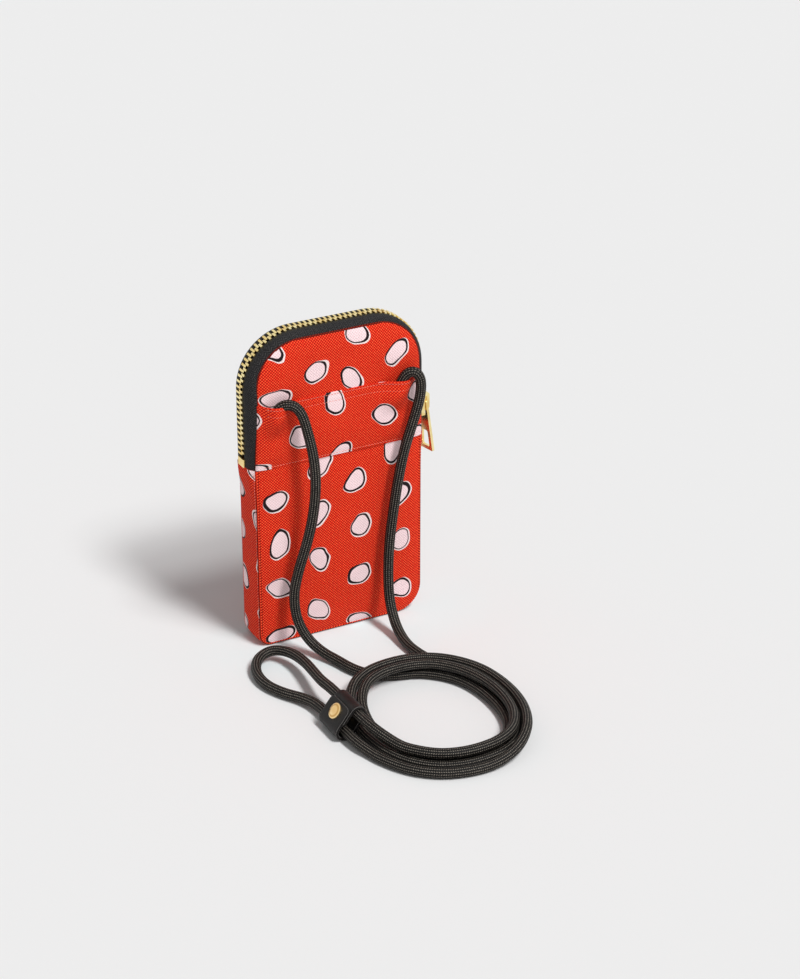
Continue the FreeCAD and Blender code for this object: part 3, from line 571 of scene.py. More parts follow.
def coilHeading(strand, angle, step=0.05):
    return (coilPoint(strand, angle - step) - coilPoint(strand, angle + step)).normalized()


# control points of a strand, set a little outside its line because the spline cuts inside them
def coilPoints(strand):
    first, last = cord[strand + "Angles"]
    count = round((first - last) / cord["stepAngle"])
    return [coilPoint(strand, first + (last - first) * i / count, cord["outgrow"]) for i in range(count + 1)]


def inKeeper(upper, y):
    tilt = math.radians(cord["keeperTilt"])
    along = cord["keeperSpread"] if upper else 0.0
    return Vector((cord["keeperX"] + along * math.cos(tilt), y, cord["keeperOuter"] + along * math.sin(tilt)))


def lead(strand, end, run):
    angle = cord[strand + "Angles"][end]
    return coilPoint(strand, angle) + coilHeading(strand, angle) * run


# from the left exit down, round the coil, through the keeper, round the end loop and all the way back
def cordRoute():
    low, high = cord["keeperRun"]
    route = [Vector(p) for p in leftDrop] + [lead("left", 0, -cord["leadRun"])] + coilPoints("left")
    route += [lead("left", 1, cord["loopLeadRun"]), inKeeper(True, low), inKeeper(True, high)]
    route += [Vector(p) for p in reversed(endLoop)]
    route += [inKeeper(False, high), inKeeper(False, low), lead("right", 1, cord["loopLeadRun"])]
    route += coilPoints("right")[::-1] + [lead("right", 0, -cord["leadRun"])]
    return route + [Vector(p) for p in reversed(rightDrop)]


# the route as one smooth spline, read back as points
def splinePoints(route):
    curve = bpy.data.curves.new("cordLine", "CURVE")
    curve.dimensions = "3D"
    curve.resolution_u = cord["splineSteps"]
    spline = curve.splines.new("NURBS")
    spline.points.add(len(route) - 1)
    for point, place in zip(spline.points, route):
        point.co = (*(place * mm), 1.0)
    spline.order_u = 3
    spline.use_endpoint_u = True
    holder = addObject("cordLine", curve)
    bpy.context.view_layer.update()
    mesh = bpy.data.meshes.new_from_object(holder.evaluated_get(bpy.context.evaluated_depsgraph_get()))
    points = [v.co / mm for v in mesh.vertices]
    bpy.data.objects.remove(holder)
    bpy.data.curves.remove(curve)
    bpy.data.meshes.remove(mesh)
    return points


def evenly(points, step):
    spaced = [points[0]]
    carry = 0.0
    for a, b in zip(points, points[1:]):
        length = (b - a).length
        at = step - carry
        while at < length:
            spaced.append(a.lerp(b, at / length))
            at += step
        carry = (carry + length) % step
    spaced.append(points[-1])
    return spaced


# a tube whose rings are carried along the line without twist, with a low rib for each column of the braid
def makeCord():
    line = evenly(splinePoints(cordRoute()), cord["ringStep"])
    count = cord["around"]
    radius = cord["diameter"] / 2
    normal = Vector((1, 0, 0))
    points, uvs = [], []
    travelled = 0.0
    for index, center in enumerate(line):
        ahead = line[min(index + 1, len(line) - 1)] - line[max(index - 1, 0)]
        heading = ahead.normalized()
        normal = (normal - heading * normal.dot(heading)).normalized()
        side = heading.cross(normal)
        if index:
            travelled += (center - line[index - 1]).length
        for k in range(count + 1):
            angle = 2 * math.pi * k / count
            reach = radius * (1 - cord["relief"] * (k % 2))
            points.append(center + (normal * math.cos(angle) + side * math.sin(angle)) * reach)
            uvs.append((k / count, travelled))
    piece = newMesh("neckCord", points, gridFaces(len(line), count + 1, flip=True), uvs, [braid])
    faceOutwards(piece, tube=True)
    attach(piece, "pouch")
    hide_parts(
        "cord_end_left", "cord_end_right", "cord_drop_left", "cord_drop_right",
        "cord_coil_left", "cord_coil_right", "cord_end_loop",
    )
    print("cord", round(travelled), "mm in", len(line), "rings")
    return piece, [tuple(p * mm) for p in line], travelled * mm


neckCord, cordLine, cordLength = makeCord()


# in mm; puffShare and mostPuff are shares, and dimpleScale and dimpleSeed belong to the noise
cover = {
    "edgeY": 10.5, "topDraw": 1.0, "topDrawFrom": 140.0, "edgeRise": 2.0, "edgeRun": 2.6,
    "leftDraw": 1.7, "rightDraw": 0.6, "sideDrawnAt": 150.0,
    # crease, zipCrease and creaseFade set how wide the painted seam shadow is
    "crease": 1.6, "zipCrease": 0.8, "creaseFade": (-6.0, 12.0),
    "edgeSteps": [0, 0.5, 1.0, 1.6, 2.3, 3.2, 4.6, 6.5, 9.0, 11.5], "columnStep": 2.4, "rowStep": 2.3,
    "cornerSteps": [0, 0.12, 0.3, 0.6, 1.0, 1.5, 2.1, 2.9, 3.9, 5.1, 6.5, 8.2, 10.2, 12.4],
    "puff": 2.2, "puffShare": 0.97, "mostPuff": 1.25, "mostSag": 0.8, "pinBelow": 2.6, "bandHold": 1.2,
    "dimple": 0.7, "dimpleScale": 0.045, "dimpleSeed": 40.0, "dimpleFrom": (1.0, 9.0),
    "plainSwell": (0.5, 24.0), "swellAbove": 18.0, "swellBelow": 26.0,
    "backPrint": (3.0, 11.0), "frontPrint": (71.0, 40.0),
}
clothSim = {
    "quality": 6, "mass": 0.25, "tension_stiffness": 18, "compression_stiffness": 18, "shear_stiffness": 6,
    "bending_stiffness": 1.2, "vertex_group_mass": "seams",
    "use_pressure": True, "uniform_pressure_force": 3.0, "shrink_min": -0.012,
}
simFrames = 20
simScale = 10 * mm  # ten times up, so the solver is steady


# how far from the middle the rim of a cover lies at a height: the zip draws the two covers together
def rimY(z):
    return cover["edgeY"] - cover["topDraw"] * smooth(cover["topDrawFrom"], pouch["height"], z)


# how far the panel reaches on the side of the middle that x lies on: beside the zip it is drawn in
def sideAt(x, z):
    draw = cover["rightDraw"] if x > 0 else cover["leftDraw"]
    return pouch["width"] / 2 - draw * smooth(pouch["zipEnd"], cover["sideDrawnAt"], z)


def bottomCorner(x):
    return pouch["bottomRightCorner"] if x > 0 else pouch["bottomLeftCorner"]


# how far inside the panel's outline a point lies
def edgeDistance(x, z):
    tall = pouch["height"] / 2
    radius = pouch["panelTopCorner"] if z > tall else bottomCorner(x)
    qx = abs(x) - sideAt(x, z) + radius
    qz = abs(z - tall) - tall + radius
    outside = math.hypot(max(qx, 0), max(qz, 0)) + min(max(qx, qz), 0) - radius
    return -outside


# the reach of sideAt, with the panel's rounded corners
def halfWidthAt(x, z):
    half = sideAt(x, z)
    top, bottom = pouch["panelTopCorner"], bottomCorner(x)
    if z > pouch["height"] - top:
        rise = z - (pouch["height"] - top)
        return half - top + math.sqrt(max(top * top - rise * rise, 0))
    if z < bottom:
        fall = bottom - z
        return half - bottom + math.sqrt(max(bottom * bottom - fall * fall, 0))
    return half


# heights of the rows, close together near the bottom and the top
def coverRows():
    corner, step, top = cover["cornerSteps"], cover["rowStep"], pouch["height"]
    rows = list(corner)
    z = rows[-1] + step
    while z < top - corner[-1] - 0.6 * step:
        rows.append(z)
        z += step
    return rows + [top - s for s in reversed(corner)]


# places across the panel as shares of its half width, close together near its sides
def coverColumns():
    half, step = pouch["width"] / 2, cover["columnStep"]
    inwards = list(cover["edgeSteps"])
    while inwards[-1] < half - 0.5 * step:
        inwards.append(min(inwards[-1] + step, half))
    shares = [1 - d / half for d in inwards]
    return [-s for s in shares] + shares[-2::-1]


def coverBase(x, z):
    inside = max(edgeDistance(x, z), 0)
    return rimY(z) + cover["edgeRise"] * (1 - math.exp(-inside / cover["edgeRun"]))


# swells the flat cover as cloth held at its seams
def swellAsCloth(name, points, faces, banded):
    mesh = bpy.data.meshes.new(name)
    mesh.from_pydata([Vector(p) * simScale for p in points], [], faces)
    holder = addObject(name, mesh)
    pins = holder.vertex_groups.new(name="seams")
    hold = cover["bandHold"]
    for index, (x, y, z) in enumerate(points):
        underBand = banded and pouch["bandBottom"] - hold < z < pouch["bandTop"] + hold
        if underBand or edgeDistance(x, z) < cover["pinBelow"]:
            pins.add([index], 1.0, "ADD")
    cloth = holder.modifiers.new("cloth", "CLOTH")
    for key, value in clothSim.items():
        setattr(cloth.settings, key, value)
    cloth.settings.effector_weights.gravity = 0.0
    cloth.collision_settings.use_collision = False
    cloth.point_cache.frame_start = 1
    cloth.point_cache.frame_end = simFrames
    scene = bpy.context.scene
    for step in range(1, simFrames + 1):
        scene.frame_set(step)
    result = holder.evaluated_get(bpy.context.evaluated_depsgraph_get()).to_mesh()
    moved = [Vector(v.co) / simScale for v in result.vertices]
    scene.frame_set(1)
    bpy.data.objects.remove(holder)
    bpy.data.meshes.remove(mesh)
    return moved


# how far each point of a cover swells: the cloth's own shape, brought to the right height
def coverSwell(name, side, outer, faces, banded):
    puff = cover["puff"]
    moved = swellAsCloth(name + "Sim", outer, faces, banded)
    lifts = [side * (m.y - p.y) for m, p in zip(moved, outer)]
    top = sorted(lifts)[int(cover["puffShare"] * len(lifts))]
    gain = puff / max(top, 1e-6)
    print(name, "cloth rose", round(top, 2), "mm before scaling")
    return [min(max(lift * gain, -cover["mostSag"]), cover["mostPuff"] * puff) for lift in lifts]


# whether a point of a cover lies in the seam that the strip round the pouch or the zip tape makes with it, where
# painted shadow darkens the cloth
def inSeamShadow(point):
    width = cover["zipCrease"]
    if point.z < pouch["zipEnd"]:
        width = cover["crease"] * smooth(*cover["creaseFade"], point.z)
    return edgeDistance(point.x, point.z) < width


# the numbers of a grid's outer points, once round
def gridRim(rows, columns):
    last = (rows - 1) * columns
    rim = list(range(columns)) + [r * columns + columns - 1 for r in range(1, rows)]
    return rim + [last + c for c in range(columns - 2, -1, -1)] + [r * columns for r in range(rows - 2, 0, -1)]


# a cover is a closed pad: printed cloth outside, lining inside, drawn in at the seam round its edge
def makeCover(name, side, banded, shift):
    rows, columns = coverRows(), coverColumns()
    flip = side > 0
    outer = []
    for z in rows:
        for share in columns:
            x = share * halfWidthAt(share, z)
            outer.append(Vector((x, side * coverBase(x, z), z)))
    faces = gridFaces(len(rows), len(columns), flip=flip)
    points = []
    for p, swell in zip(outer, coverSwell(name, side, outer, faces, banded)):
        uneven = noise.noise(Vector((p.x, cover["dimpleSeed"] * side, p.z)) * cover["dimpleScale"])
        dimple = cover["dimple"] * uneven * smooth(*cover["dimpleFrom"], edgeDistance(p.x, p.z))
        points.append(Vector((p.x, p.y + side * (swell + dimple), p.z)))
    uvs = [(p.x + shift[0], p.z + shift[1]) for p in outer]
    # faces in the seams take the painted seam shadow
    slots = [3 if inSeamShadow(sum((outer[i] for i in face), Vector()) / 4) else 0 for face in faces]
    inset = pouch["liningInset"]
    first = len(points)
    for z in rows:
        drawnZ = inset + z * (pouch["height"] - 2 * inset) / pouch["height"]
        for share in columns:
            x = share * halfWidthAt(share, z) * (1 - 2 * inset / pouch["width"])
            points.append(Vector((x, side * pouch["liningY"], drawnZ)))
            uvs.append((x, drawnZ))
    inner = gridFaces(len(rows), len(columns), first, flip=not flip)
    faces += inner
    slots += [1] * len(inner)
    rim = gridRim(len(rows), len(columns))
    for a, b in zip(rim, rim[1:] + rim[:1]):
        quad = (b, a, a + first, b + first)
        faces.append(quad[::-1] if flip else quad)
        slots.append(2)
    return newMesh(name, points, faces, uvs, [canvas, lining, seamCloth, seamShadowCloth], slots)


backCover = makeCover("backCover", -1, True, cover["backPrint"])
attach(backCover, "pouch")
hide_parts("back_panel", "back_padding", "back_lining")
frontCover = makeCover("frontCover", 1, False, cover["frontPrint"])
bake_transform(frontCover)
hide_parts("front_panel", "front_flap", "front_padding", "flap_padding", "front_lining", "flap_lining")
print("covers ready")


band = {
    "lift": 0.95, "cloth": 0.8, "puff": 0.9, "puffFrom": 16.0, "columnStep": 1.3, "rowStep": 1.25,
    "sideInset": 0.2, "sideHold": 8.0, "printShift": (40.0, 66.0),
    "edgeRound": 0.4, "edgeRows": [(0.0, 1.0), (0.12, 0.35), (0.4, 0.0)],  # height, share of the rounding
    "seamDip": 0.45, "seamWidth": 0.7, "seamIn": 1.3, "secondSeam": 5.2, "seamLost": (0.6, 2.0),
    "ridges": [(-41.6, 1.8, 6.4), (34.2, 4.4, 6.0)],  # place, lean to the right, height
    "ridgeWidth": (8.5, 6.6), "ridgeGrow": (0.8, 0.25), "ridgeRise": (129.5, 146.0), "leanFrom": 138.0,
    "ridgeFoot": 0.2, "footRise": (113.4, 120.0),
    "hollow": 1.1, "hollowSize": (3.6, 4.6), "hollowHeight": 133.0, "deepest": -0.5,
    "wrinkle": 0.28, "wrinkleScale": (0.09, 0.05), "wrinkleSeed": 3.7,
}
# height and strength of each seam
bandSeams = [
    (pouch["bandBottom"] + band["seamIn"], 1.0),
    (pouch["bandTop"] - band["seamIn"], 1.0),
    (pouch["bandTop"] - band["secondSeam"], 0.5),
]


# the ridge that the sewn-in cord end pushes up at the top edge, steep below its end, with a hollow under it
def ridgeHeight(x, z):
    total = 0.0
    up = smooth(*band["ridgeRise"], z)
    foot = band["ridgeFoot"] * smooth(*band["footRise"], z)
    narrow, grow = band["ridgeGrow"]
    wide, high = band["hollowSize"]
    for center, lean, tall in band["ridges"]:
        middle = center + lean * smooth(band["leanFrom"], pouch["bandTop"], z)
        width = band["ridgeWidth"][0 if x < middle else 1]
        away = (x - middle) / (width * (narrow + grow * up))
        total += tall * (foot + (1 - band["ridgeFoot"]) * up) * math.exp(-away * away)
        total -= band["hollow"] * math.exp(-((x - middle) / wide) ** 2 - ((z - band["hollowHeight"]) / high) ** 2)
    return total * smooth(0.0, band["sideHold"], edgeDistance(x, z))


def bandOut(x, z):
    low, high = pouch["bandBottom"], pouch["bandTop"]
    middle = math.sin(math.pi * (z - low) / (high - low))
    ridge = ridgeHeight(x, z)
    out = coverBase(x, z) + band["lift"]
    out += band["puff"] * middle * smooth(0.0, band["puffFrom"], edgeDistance(x, z))
    for seam, strength in bandSeams:
        dip = band["seamDip"] * strength * math.exp(-((z - seam) / band["seamWidth"]) ** 2)
        out -= dip * (1 - smooth(*band["seamLost"], ridge))
    acrossScale, upScale = band["wrinkleScale"]
    wrinkle = noise.noise(Vector((x * acrossScale, band["wrinkleSeed"], z * upScale)))
    return out + max(ridge, band["deepest"]) + band["wrinkle"] * wrinkle * middle


# places across the band at a height, from its left edge to its right
def bandColumns(z):
    left, right = band["sideInset"] - sideAt(-1, z), sideAt(1, z) - band["sideInset"]
    count = round(pouch["width"] / band["columnStep"])
    return [left + (right - left) * i / count for i in range(count + 1)]


def makeBand():
    low, high = pouch["bandBottom"], pouch["bandTop"]
    count = round((high - low) / band["rowStep"])
    rows = [(low + up, tucked) for up, tucked in band["edgeRows"]]
    rows += [(low + (high - low) * i / count, 0.0) for i in range(1, count)]
    rows += [(high - down, tucked) for down, tucked in reversed(band["edgeRows"])]
    points, uvs = [], []
    for layer in (0.0, band["cloth"]):
        for z, tucked in rows:
            for x in bandColumns(z):
                drop = layer if layer else tucked * band["edgeRound"]
                points.append((x, -(bandOut(x, z) - drop), z))
                uvs.append((x + band["printShift"][0], z + band["printShift"][1]))
    wide, tall = len(bandColumns(low)), len(rows)
    first = wide * tall
    faces = gridFaces(tall, wide) + gridFaces(tall, wide, first, flip=True)
    rim = gridRim(tall, wide)
    faces += [(b, a, a + first, b + first) for a, b in zip(rim, rim[1:] + rim[:1])]
    return newMesh("cordBand", points, faces, uvs, [canvas])


cordBand = makeBand()
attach(cordBand, "pouch")
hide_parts("cord_band")
print("band ready")


# points along the pouch's outline, each with the way out from it
def edgePath(turns, step, fewestInArc=6):
    path = []
    for kind, data in turns:
        if kind == "line":
            (ax, az), (bx, bz), way = data
            length = math.hypot(bx - ax, bz - az)
            count = max(1, round(length / step))
            for i in range(count):
                path.append((ax + (bx - ax) * i / count, az + (bz - az) * i / count, *way))
        else:
            (cx, cz), radius, first, last = data
            count = max(fewestInArc, round(math.radians(abs(last - first)) * radius / step))
            for i in range(count):
                angle = math.radians(first + (last - first) * i / count)
                out = (math.cos(angle), math.sin(angle))
                path.append((cx + radius * out[0], cz + radius * out[1], *out))
    return path


# from one end of the zip down, along the bottom and up to its other end
def lowerPath(step):
    half, top = pouch["width"] / 2, pouch["zipEnd"]
    left, right = bottomCorner(-1), bottomCorner(1)
    path = edgePath([
        ("line", ((-half, top), (-half, left), (-1, 0))),
        ("arc", ((left - half, left), left, 180, 270)),
        ("line", ((left - half, 0), (half - right, 0), (0, -1))),
        ("arc", ((half - right, right), right, 270, 360)),
        ("line", ((half, right), (half, top), (1, 0))),
    ], step)
    return path + [(half, top, 1, 0)]


# the zip's way over the top
def upperPath(step, below):
    half, corner, tall = pouch["width"] / 2, pouch["topCorner"], pouch["height"]
    start = pouch["zipEnd"] - below
    path = edgePath([
        ("line", ((half, start), (half, tall - corner), (1, 0))),
        ("arc", ((half - corner, tall - corner), corner, 0, 90)),
        ("line", ((half - corner, tall), (corner - half, tall), (0, 1))),
        ("arc", ((corner - half, tall - corner), corner, 90, 180)),
        ("line", ((-half, tall - corner), (-half, start), (-1, 0))),
    ], step)
    return path + [(-half, start, -1, 0)]


# carries a closed section of (y, out) points, which may change with the height, along a path
def sweepSection(name, path, sectionAt, materials, slotOf, uvShift=(0, 0)):
    points, uvs, travelled = [], [], 0.0
    size = len(sectionAt(path[0][1]))
    for index, (x, z, outX, outZ) in enumerate(path):
        if index:
            travelled += math.hypot(x - path[index - 1][0], z - path[index - 1][1])
        for y, out in sectionAt(z):
            points.append((x + outX * out, y, max(z + outZ * out, 0.0)))
            uvs.append((y + uvShift[0], travelled + uvShift[1]))
    faces = gridFaces(len(path), size, closed=True)
    slots = [slotOf(index % size) for index in range(len(faces))]
    faces.append(tuple(range(size))[::-1])
    faces.append(tuple(range((len(path) - 1) * size, len(path) * size)))
    slots += [slotOf(size), slotOf(size)]
    piece = newMesh(name, points, faces, uvs, materials, slots)
    faceOutwards(piece)
    return piece


gusset = {
    "half": 11.5, "crown": 0.7, "edgeDip": 0.75, "cloth": 1.0, "innerShare": 0.97, "steps": 18, "pathStep": 2.2,
    "ramp": 26.0, "overZip": 0.55, "zipShare": 0.55, "printShift": (210.0, 90.0),
    "ripple": 0.22, "rippleScale": (0.06, 0.1), "rippleSeed": 5.0,
}


# how far the strip stands out: a low crown, which rises to meet the zip where that ends
def gussetOut(y, z):
    share = abs(y) / gusset["half"]
    dip = gusset["edgeDip"] * share ** 8
    flat = gusset["crown"] * (1 - share ** 2) - dip
    raised = (pouch["zipBulge"] + gusset["overZip"]) * (1 - smooth(gusset["zipShare"], 1.0, share)) - dip
    lift = smooth(pouch["zipEnd"] - gusset["ramp"], pouch["zipEnd"], z)
    upScale, acrossScale = gusset["rippleScale"]
    ripple = gusset["ripple"] * noise.noise(Vector((z * upScale, y * acrossScale, gusset["rippleSeed"])))
    return flat + (raised - flat) * lift + ripple * (1 - share ** 4)


def gussetSection(z):
    ys = [gusset["half"] * (2 * i / gusset["steps"] - 1) for i in range(gusset["steps"] + 1)]
    outer = [(y, gussetOut(y, z)) for y in ys]
    return outer + [(y * gusset["innerShare"], out - gusset["cloth"]) for y, out in reversed(outer)]


# printed outside, lining inside, and plain cloth along both turned-in edges
def gussetSlot(k):
    steps = gusset["steps"]
    if steps < k <= 2 * steps:
        return 1
    return 0 if 0 < k < steps - 1 else 2


sideGusset = sweepSection(
    "sideGusset", lowerPath(gusset["pathStep"]), gussetSection,
    [canvas, lining, seamCloth], gussetSlot, gusset["printShift"],
)
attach(sideGusset, "pouch")
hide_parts("gusset", "gusset_lining")

# the profile goes from beside the teeth to the seam: distance from the middle, and how far out
tapeStrip = {
    "edge": 2.3, "cloth": 0.8, "below": 0.6, "pathStep": 2.0, "rim": 10.5,
    "profile": [
        (2.3, 0.4), (3.6, 0.42), (5.2, 0.38), (6.6, 0.1), (7.8, -0.5),
        (8.9, -1.35), (9.8, -2.3), (10.6, -3.4), (10.9, -4.6),
    ],
}


def tapeSection(side):
    def at(z):
        edge, bulge = tapeStrip["edge"], pouch["zipBulge"]
        spread = (rimY(z) - edge) / (tapeStrip["rim"] - edge)
        across = [(side * (edge + (y - edge) * spread), bulge + out) for y, out in tapeStrip["profile"]]
        return across + [(y, out - tapeStrip["cloth"]) for y, out in reversed(across)]
    return at


zipPath = upperPath(tapeStrip["pathStep"], tapeStrip["below"])
backTape = sweepSection("backTape", zipPath, tapeSection(-1), [tapeCloth], lambda k: 0)
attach(backTape, "pouch")
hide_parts("zip_tape_back")
frontTape = sweepSection("frontTape", zipPath, tapeSection(1), [tapeCloth], lambda k: 0)
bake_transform(frontTape)
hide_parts("zip_tape_front", "zip_tape_flap")
print("gusset and tapes ready")


stitch = {
    "length": 1.35, "gap": 0.5, "firstAt": 0.6, "radius": 0.18, "faintRadius": 0.11, "rise": 0.08,
    "sides": 6, "flatness": 0.8, "bandSkip": 3, "gussetSkip": 2,
    "gussetIn": 1.7, "gussetLean": 0.35, "gussetStep": 1.0, "lowest": 0.3,
    # along the stitch, its width and its height there
    "stations": [(0.0, 0.15, -0.3), (0.14, 0.9, 0.05), (0.5, 1.0, 0.25), (0.86, 0.9, 0.05), (1.0, 0.15, -0.3)],
}


def addStitch(points, faces, start, end, normal, radius):
    along = (end - start).normalized()
    across = along.cross(normal).normalized()
    first = len(points)
    sides, stations = stitch["sides"], stitch["stations"]
    for share, width, rise in stations:
        center = start.lerp(end, share) + normal * rise * radius * 2
        for k in range(sides):
            angle = 2 * math.pi * k / sides
            offset = across * math.cos(angle) + normal * math.sin(angle) * stitch["flatness"]
            points.append(center + offset * radius * width)
    faces += gridFaces(len(stations), sides, first, closed=True, flip=True)
    faces.append(tuple(range(first, first + sides)))
    faces.append(tuple(range(first + (len(stations) - 1) * sides, first + len(stations) * sides))[::-1])


def sewAlong(points, faces, line, normals, radius):
    travelled, due = 0.0, stitch["firstAt"]
    begun = None
    for a, b, normal in zip(line, line[1:], normals):
        length = (b - a).length
        while due <= travelled + length:
            spot = a.lerp(b, (due - travelled) / length)
            if begun is None:
                begun = spot
                due += stitch["length"]
            else:
                addStitch(points, faces, begun, spot, normal, radius)
                begun = None
                due += stitch["gap"]
        travelled += length


# the band's seams, then both edges of the strip round the pouch
def makeStitches():
    points, faces = [], []
    rise, skip = stitch["rise"], stitch["bandSkip"]
    for z, strength in bandSeams:
        line = [Vector((x, -(bandOut(x, z) + rise), z)) for x in bandColumns(z)[skip:-skip]]
        radius = stitch["radius"] if strength == 1.0 else stitch["faintRadius"]
        sewAlong(points, faces, line, [Vector((0, -1, 0))] * len(line), radius)
    skip = stitch["gussetSkip"]
    for side in (-1, 1):
        y = side * (gusset["half"] - stitch["gussetIn"])
        line, normals = [], []
        for x, z, outX, outZ in lowerPath(stitch["gussetStep"])[skip:-skip]:
            out = gussetOut(y, z) + rise
            line.append(Vector((x + outX * out, y, max(z + outZ * out, stitch["lowest"]))))
            normals.append(Vector((outX, stitch["gussetLean"] * side, outZ)).normalized())
        sewAlong(points, faces, line, normals, stitch["radius"])
    piece = newMesh("seamStitches", points, faces, None, [thread])
    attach(piece, "pouch")


makeStitches()
print("stitches ready")


keeper = {
    "bend": 4.1, "cloth": 1.6, "tabLayer": 5.7, "tabEnd": 11.8, "innerStart": 2.6, "length": 20.5,
    "middleY": -114.0, "corner": 3.2, "tabLift": (205, 120), "bevel": 0.34, "bevelAbove": 50,
    "flatSteps": 6, "bendSteps": 16, "foldSteps": 20, "tabSteps": 8, "endSteps": 7, "acrossSteps": 12,
}


# the strip's middle line in the plane across the strands: from its hidden end, round the upper strand,
# back under the lower one, and up over the front as the tab
def keeperLine():
    spread, bend, layer = cord["keeperSpread"], keeper["bend"], keeper["tabLayer"]
    steps, start = keeper["flatSteps"], keeper["innerStart"]
    line = [(start + (spread - start) * i / steps, bend) for i in range(steps + 1)]
    for i in range(1, keeper["bendSteps"] + 1):
        angle = math.radians(90 - 180 * i / keeper["bendSteps"])
        line.append((spread + bend * math.cos(angle), bend * math.sin(angle)))
    line += [(spread * (1 - i / steps), -bend) for i in range(1, steps + 1)]
    for i in range(1, keeper["foldSteps"] + 1):
        degrees = 270 - 180 * i / keeper["foldSteps"]
        radius = bend + (layer - bend) * smooth(*keeper["tabLift"], degrees)
        angle = math.radians(degrees)
        line.append((radius * math.cos(angle), radius * math.sin(angle)))
    straight, corner = keeper["tabEnd"] - keeper["corner"], keeper["corner"]
    line += [(straight * i / keeper["tabSteps"], layer) for i in range(1, keeper["tabSteps"] + 1)]
    for i in range(1, keeper["endSteps"] + 1):
        line.append((straight + corner * math.sin(math.radians(90 * i / keeper["endSteps"])), layer))
    return line


def makeKeeper():
    line = keeperLine()
    total = [0.0]
    for a, b in zip(line, line[1:]):
        total.append(total[-1] + math.hypot(b[0] - a[0], b[1] - a[1]))
    tilt = math.radians(cord["keeperTilt"])
    along, out = Vector((math.cos(tilt), 0, math.sin(tilt))), Vector((-math.sin(tilt), 0, math.cos(tilt)))
    origin = Vector((cord["keeperX"], keeper["middleY"], cord["keeperOuter"]))
    points, faces = [], []
    across, corner = keeper["acrossSteps"] + 1, keeper["corner"]
    for index, (w, n) in enumerate(line):
        ahead = line[min(index + 1, len(line) - 1)]
        behind = line[max(index - 1, 0)]
        heading = Vector((ahead[0] - behind[0], ahead[1] - behind[1])).normalized()
        normal = Vector((heading.y, -heading.x))
        left = total[-1] - total[index]
        half = keeper["length"] / 2
        if left < corner:
            half -= corner - math.sqrt(corner ** 2 - (corner - left) ** 2)
        for layer in (0.5, -0.5):
            for k in range(across):
                y = half * (2 * k / (across - 1) - 1)
                place = Vector((w, n)) - normal * layer * keeper["cloth"]
                points.append(origin + along * place.x + out * place.y + Vector((0, y, 0)))
    ring = 2 * across
    for index in range(len(line) - 1):
        a = index * ring
        b = a + ring
        for k in range(across - 1):
            faces.append((a + k, a + k + 1, b + k + 1, b + k))
            faces.append((a + across + k + 1, a + across + k, b + across + k, b + across + k + 1))
        faces.append((a + across, a, b, b + across))
        faces.append((a + across - 1, a + ring - 1, b + ring - 1, b + across - 1))
    for a in (0, (len(line) - 1) * ring):
        for k in range(across - 1):
            quad = (a + k, a + across + k, a + across + k + 1, a + k + 1)
            faces.append(quad if a == 0 else quad[::-1])
    piece = newMesh("keeperLeather", points, faces, None, [leather, edgeHighlight])
    faceOutwards(piece)
    soften = piece.modifiers.new("softEdges", "BEVEL")
    soften.width = keeper["bevel"] * mm
    soften.segments = 2
    # the bevels take the pale material, a painted highlight along the strip's edges
    soften.material = 1
    soften.limit_method = "ANGLE"
    soften.angle_limit = math.radians(keeper["bevelAbove"])
    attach(piece, "keeper")
    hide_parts("keeper_strap")
    return piece


keeperLeather = makeKeeper()
print("keeper ready")


def dressNode(name, material):
    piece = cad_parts[name]
    piece.data.materials.clear()
    piece.data.materials.append(material)


zipMetal = ["zip_bottom_stop", "zip_top_stops", "zip_slider", "slider_bail", "zip_pull"]
zipMetal += [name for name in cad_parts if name.startswith("zip_teeth")]
for name in zipMetal:
    dressNode(name, brass)
for name in ("keeper_rivet_cap", "keeper_rivet_post"):
    dressNode(name, rivetGold)
print("brass ready")


stage = {
    "floorColour": srgb(236, 236, 236), "floorSize": 14.0, "floorDrop": 0.3 * mm,
    "floorNear": srgb(227, 246, 247), "near": (0, -14 * mm, 0), "nearReach": 62 * mm, "nearShape": (0.55, 1.0, 1.0),
    "worldLight": 0.3, "backdrop": srgb(236, 236, 236), "lampDistance": 2.0,
    "keyTurns": (14.0, 17.0, 27.0), "keyRises": (49.0, 54.0, 64.0), "keyStrength": 0.89, "keyAngle": 11.0,
    "fillTurn": -24.0, "fillRise": 12.0, "fillStrength": 0.2, "fillAngle": 40.0,
}


# a pale floor, painted a little cooler in front of the pouch to cancel the red light that falls back on it
def makeStage():
    bpy.ops.mesh.primitive_plane_add(size=stage["floorSize"], location=(0, 0, -stage["floorDrop"]))
    floor = bpy.context.active_object
    floor.name = "floor"
    material, tree, shader = newMaterial("paleFloor", {"Roughness": 0.95, "Specular IOR Level": 0.0})
    spot = vectorCalc(tree, "SUBTRACT", placeCoordinates(tree), stage["near"])
    spot = vectorCalc(tree, "MULTIPLY", spot, stage["nearShape"])
    away = ramp(tree, vectorCalc(tree, "LENGTH", spot), 0.0, stage["nearReach"])
    feed(tree, shader.inputs["Base Color"], mixColor(tree, away, stage["floorNear"], stage["floorColour"]))
    floor.data.materials.append(material)


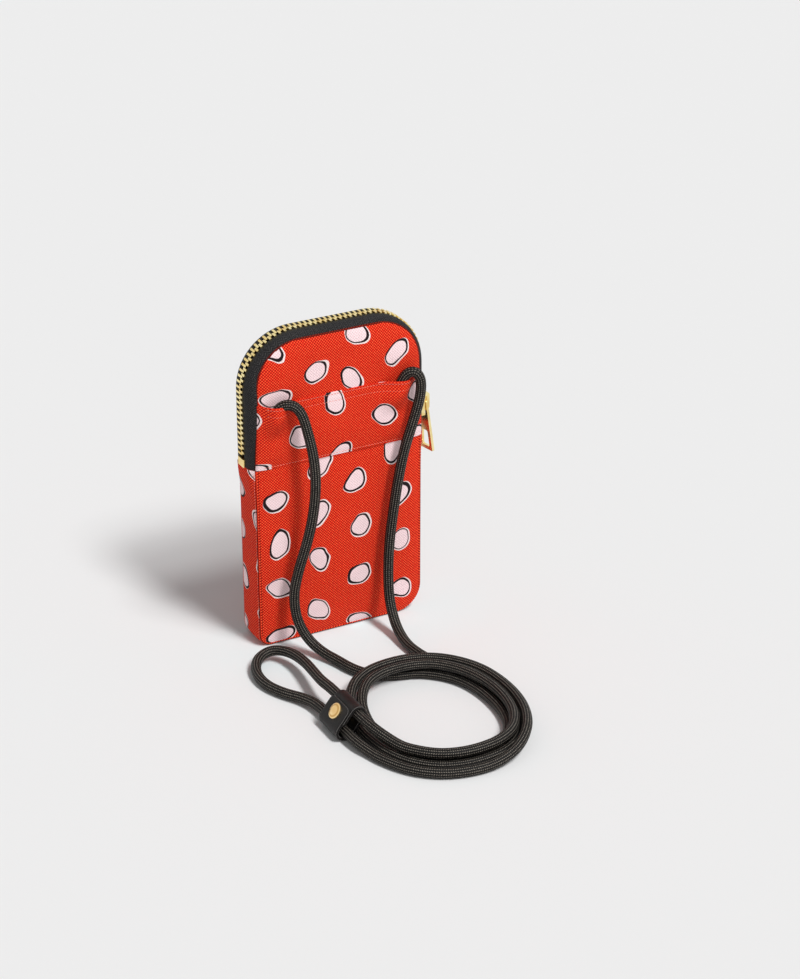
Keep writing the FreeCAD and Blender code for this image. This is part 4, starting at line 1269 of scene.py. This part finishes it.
# soft light from all round; what the camera and metal see of the studio is the pale backdrop
def makeWorld():
    world = bpy.data.worlds.new("studio")
    world.use_nodes = True
    tree = world.node_tree
    light = tree.nodes["Background"]
    light.inputs["Color"].default_value = (1, 1, 1, 1)
    light.inputs["Strength"].default_value = stage["worldLight"]
    seen = wire(tree, "ShaderNodeBackground", {"Color": stage["backdrop"]})
    rays = addNode(tree, "ShaderNodeLightPath")
    direct = calc(tree, "MAXIMUM", rays.outputs["Is Camera Ray"], rays.outputs["Is Glossy Ray"])
    direct = calc(tree, "MAXIMUM", direct, rays.outputs["Is Transmission Ray"])
    mixed = wire(tree, "ShaderNodeMixShader", {0: direct, 1: light.outputs[0], 2: seen})
    feed(tree, tree.nodes["World Output"].inputs["Surface"], mixed)
    bpy.context.scene.world = world


# the way from the pouch to something at a turn and a rise in degrees
def wayTo(turn, rise):
    turn, rise = math.radians(turn), math.radians(rise)
    return Vector((math.sin(turn) * math.cos(rise), -math.cos(turn) * math.cos(rise), math.sin(rise)))


def addFacing(name, data, way, place):
    holder = addObject(name, data)
    holder.location = place
    holder.rotation_euler = way.to_track_quat("Z", "Y").to_euler()
    return holder


def addLamp(name, turn, rise, strength, angle):
    data = bpy.data.lights.new(name, "SUN")
    data.energy = strength
    data.angle = math.radians(angle)
    way = wayTo(turn, rise)
    addFacing(name, data, way, way * stage["lampDistance"])


# a tall soft box far in front of the pouch, leaning out to its right, as three lamps, and a weak low fill
def makeLights():
    for number, (turn, rise) in enumerate(zip(stage["keyTurns"], stage["keyRises"])):
        addLamp("softBox" + str(number + 1), turn, rise, stage["keyStrength"], stage["keyAngle"])
    addLamp("lowFill", stage["fillTurn"], stage["fillRise"], stage["fillStrength"], stage["fillAngle"])


camera = {
    "place": (-0.56405, -1.14312, 0.71415), "azimuth": -28.03, "elevation": 26.30,
    "lens": 90.99, "sensor": 36.0, "farClip": 50.0,
}


def makeCamera():
    data = bpy.data.cameras.new("studioCamera")
    data.lens = camera["lens"]
    data.sensor_width = camera["sensor"]
    data.sensor_fit = "AUTO"
    data.clip_end = camera["farClip"]
    way = wayTo(camera["azimuth"], camera["elevation"])
    bpy.context.scene.camera = addFacing("studioCamera", data, way, camera["place"])


makeStage()
makeWorld()
makeLights()
makeCamera()
bpy.context.scene.view_settings.view_transform = "Standard"
print("stage ready")
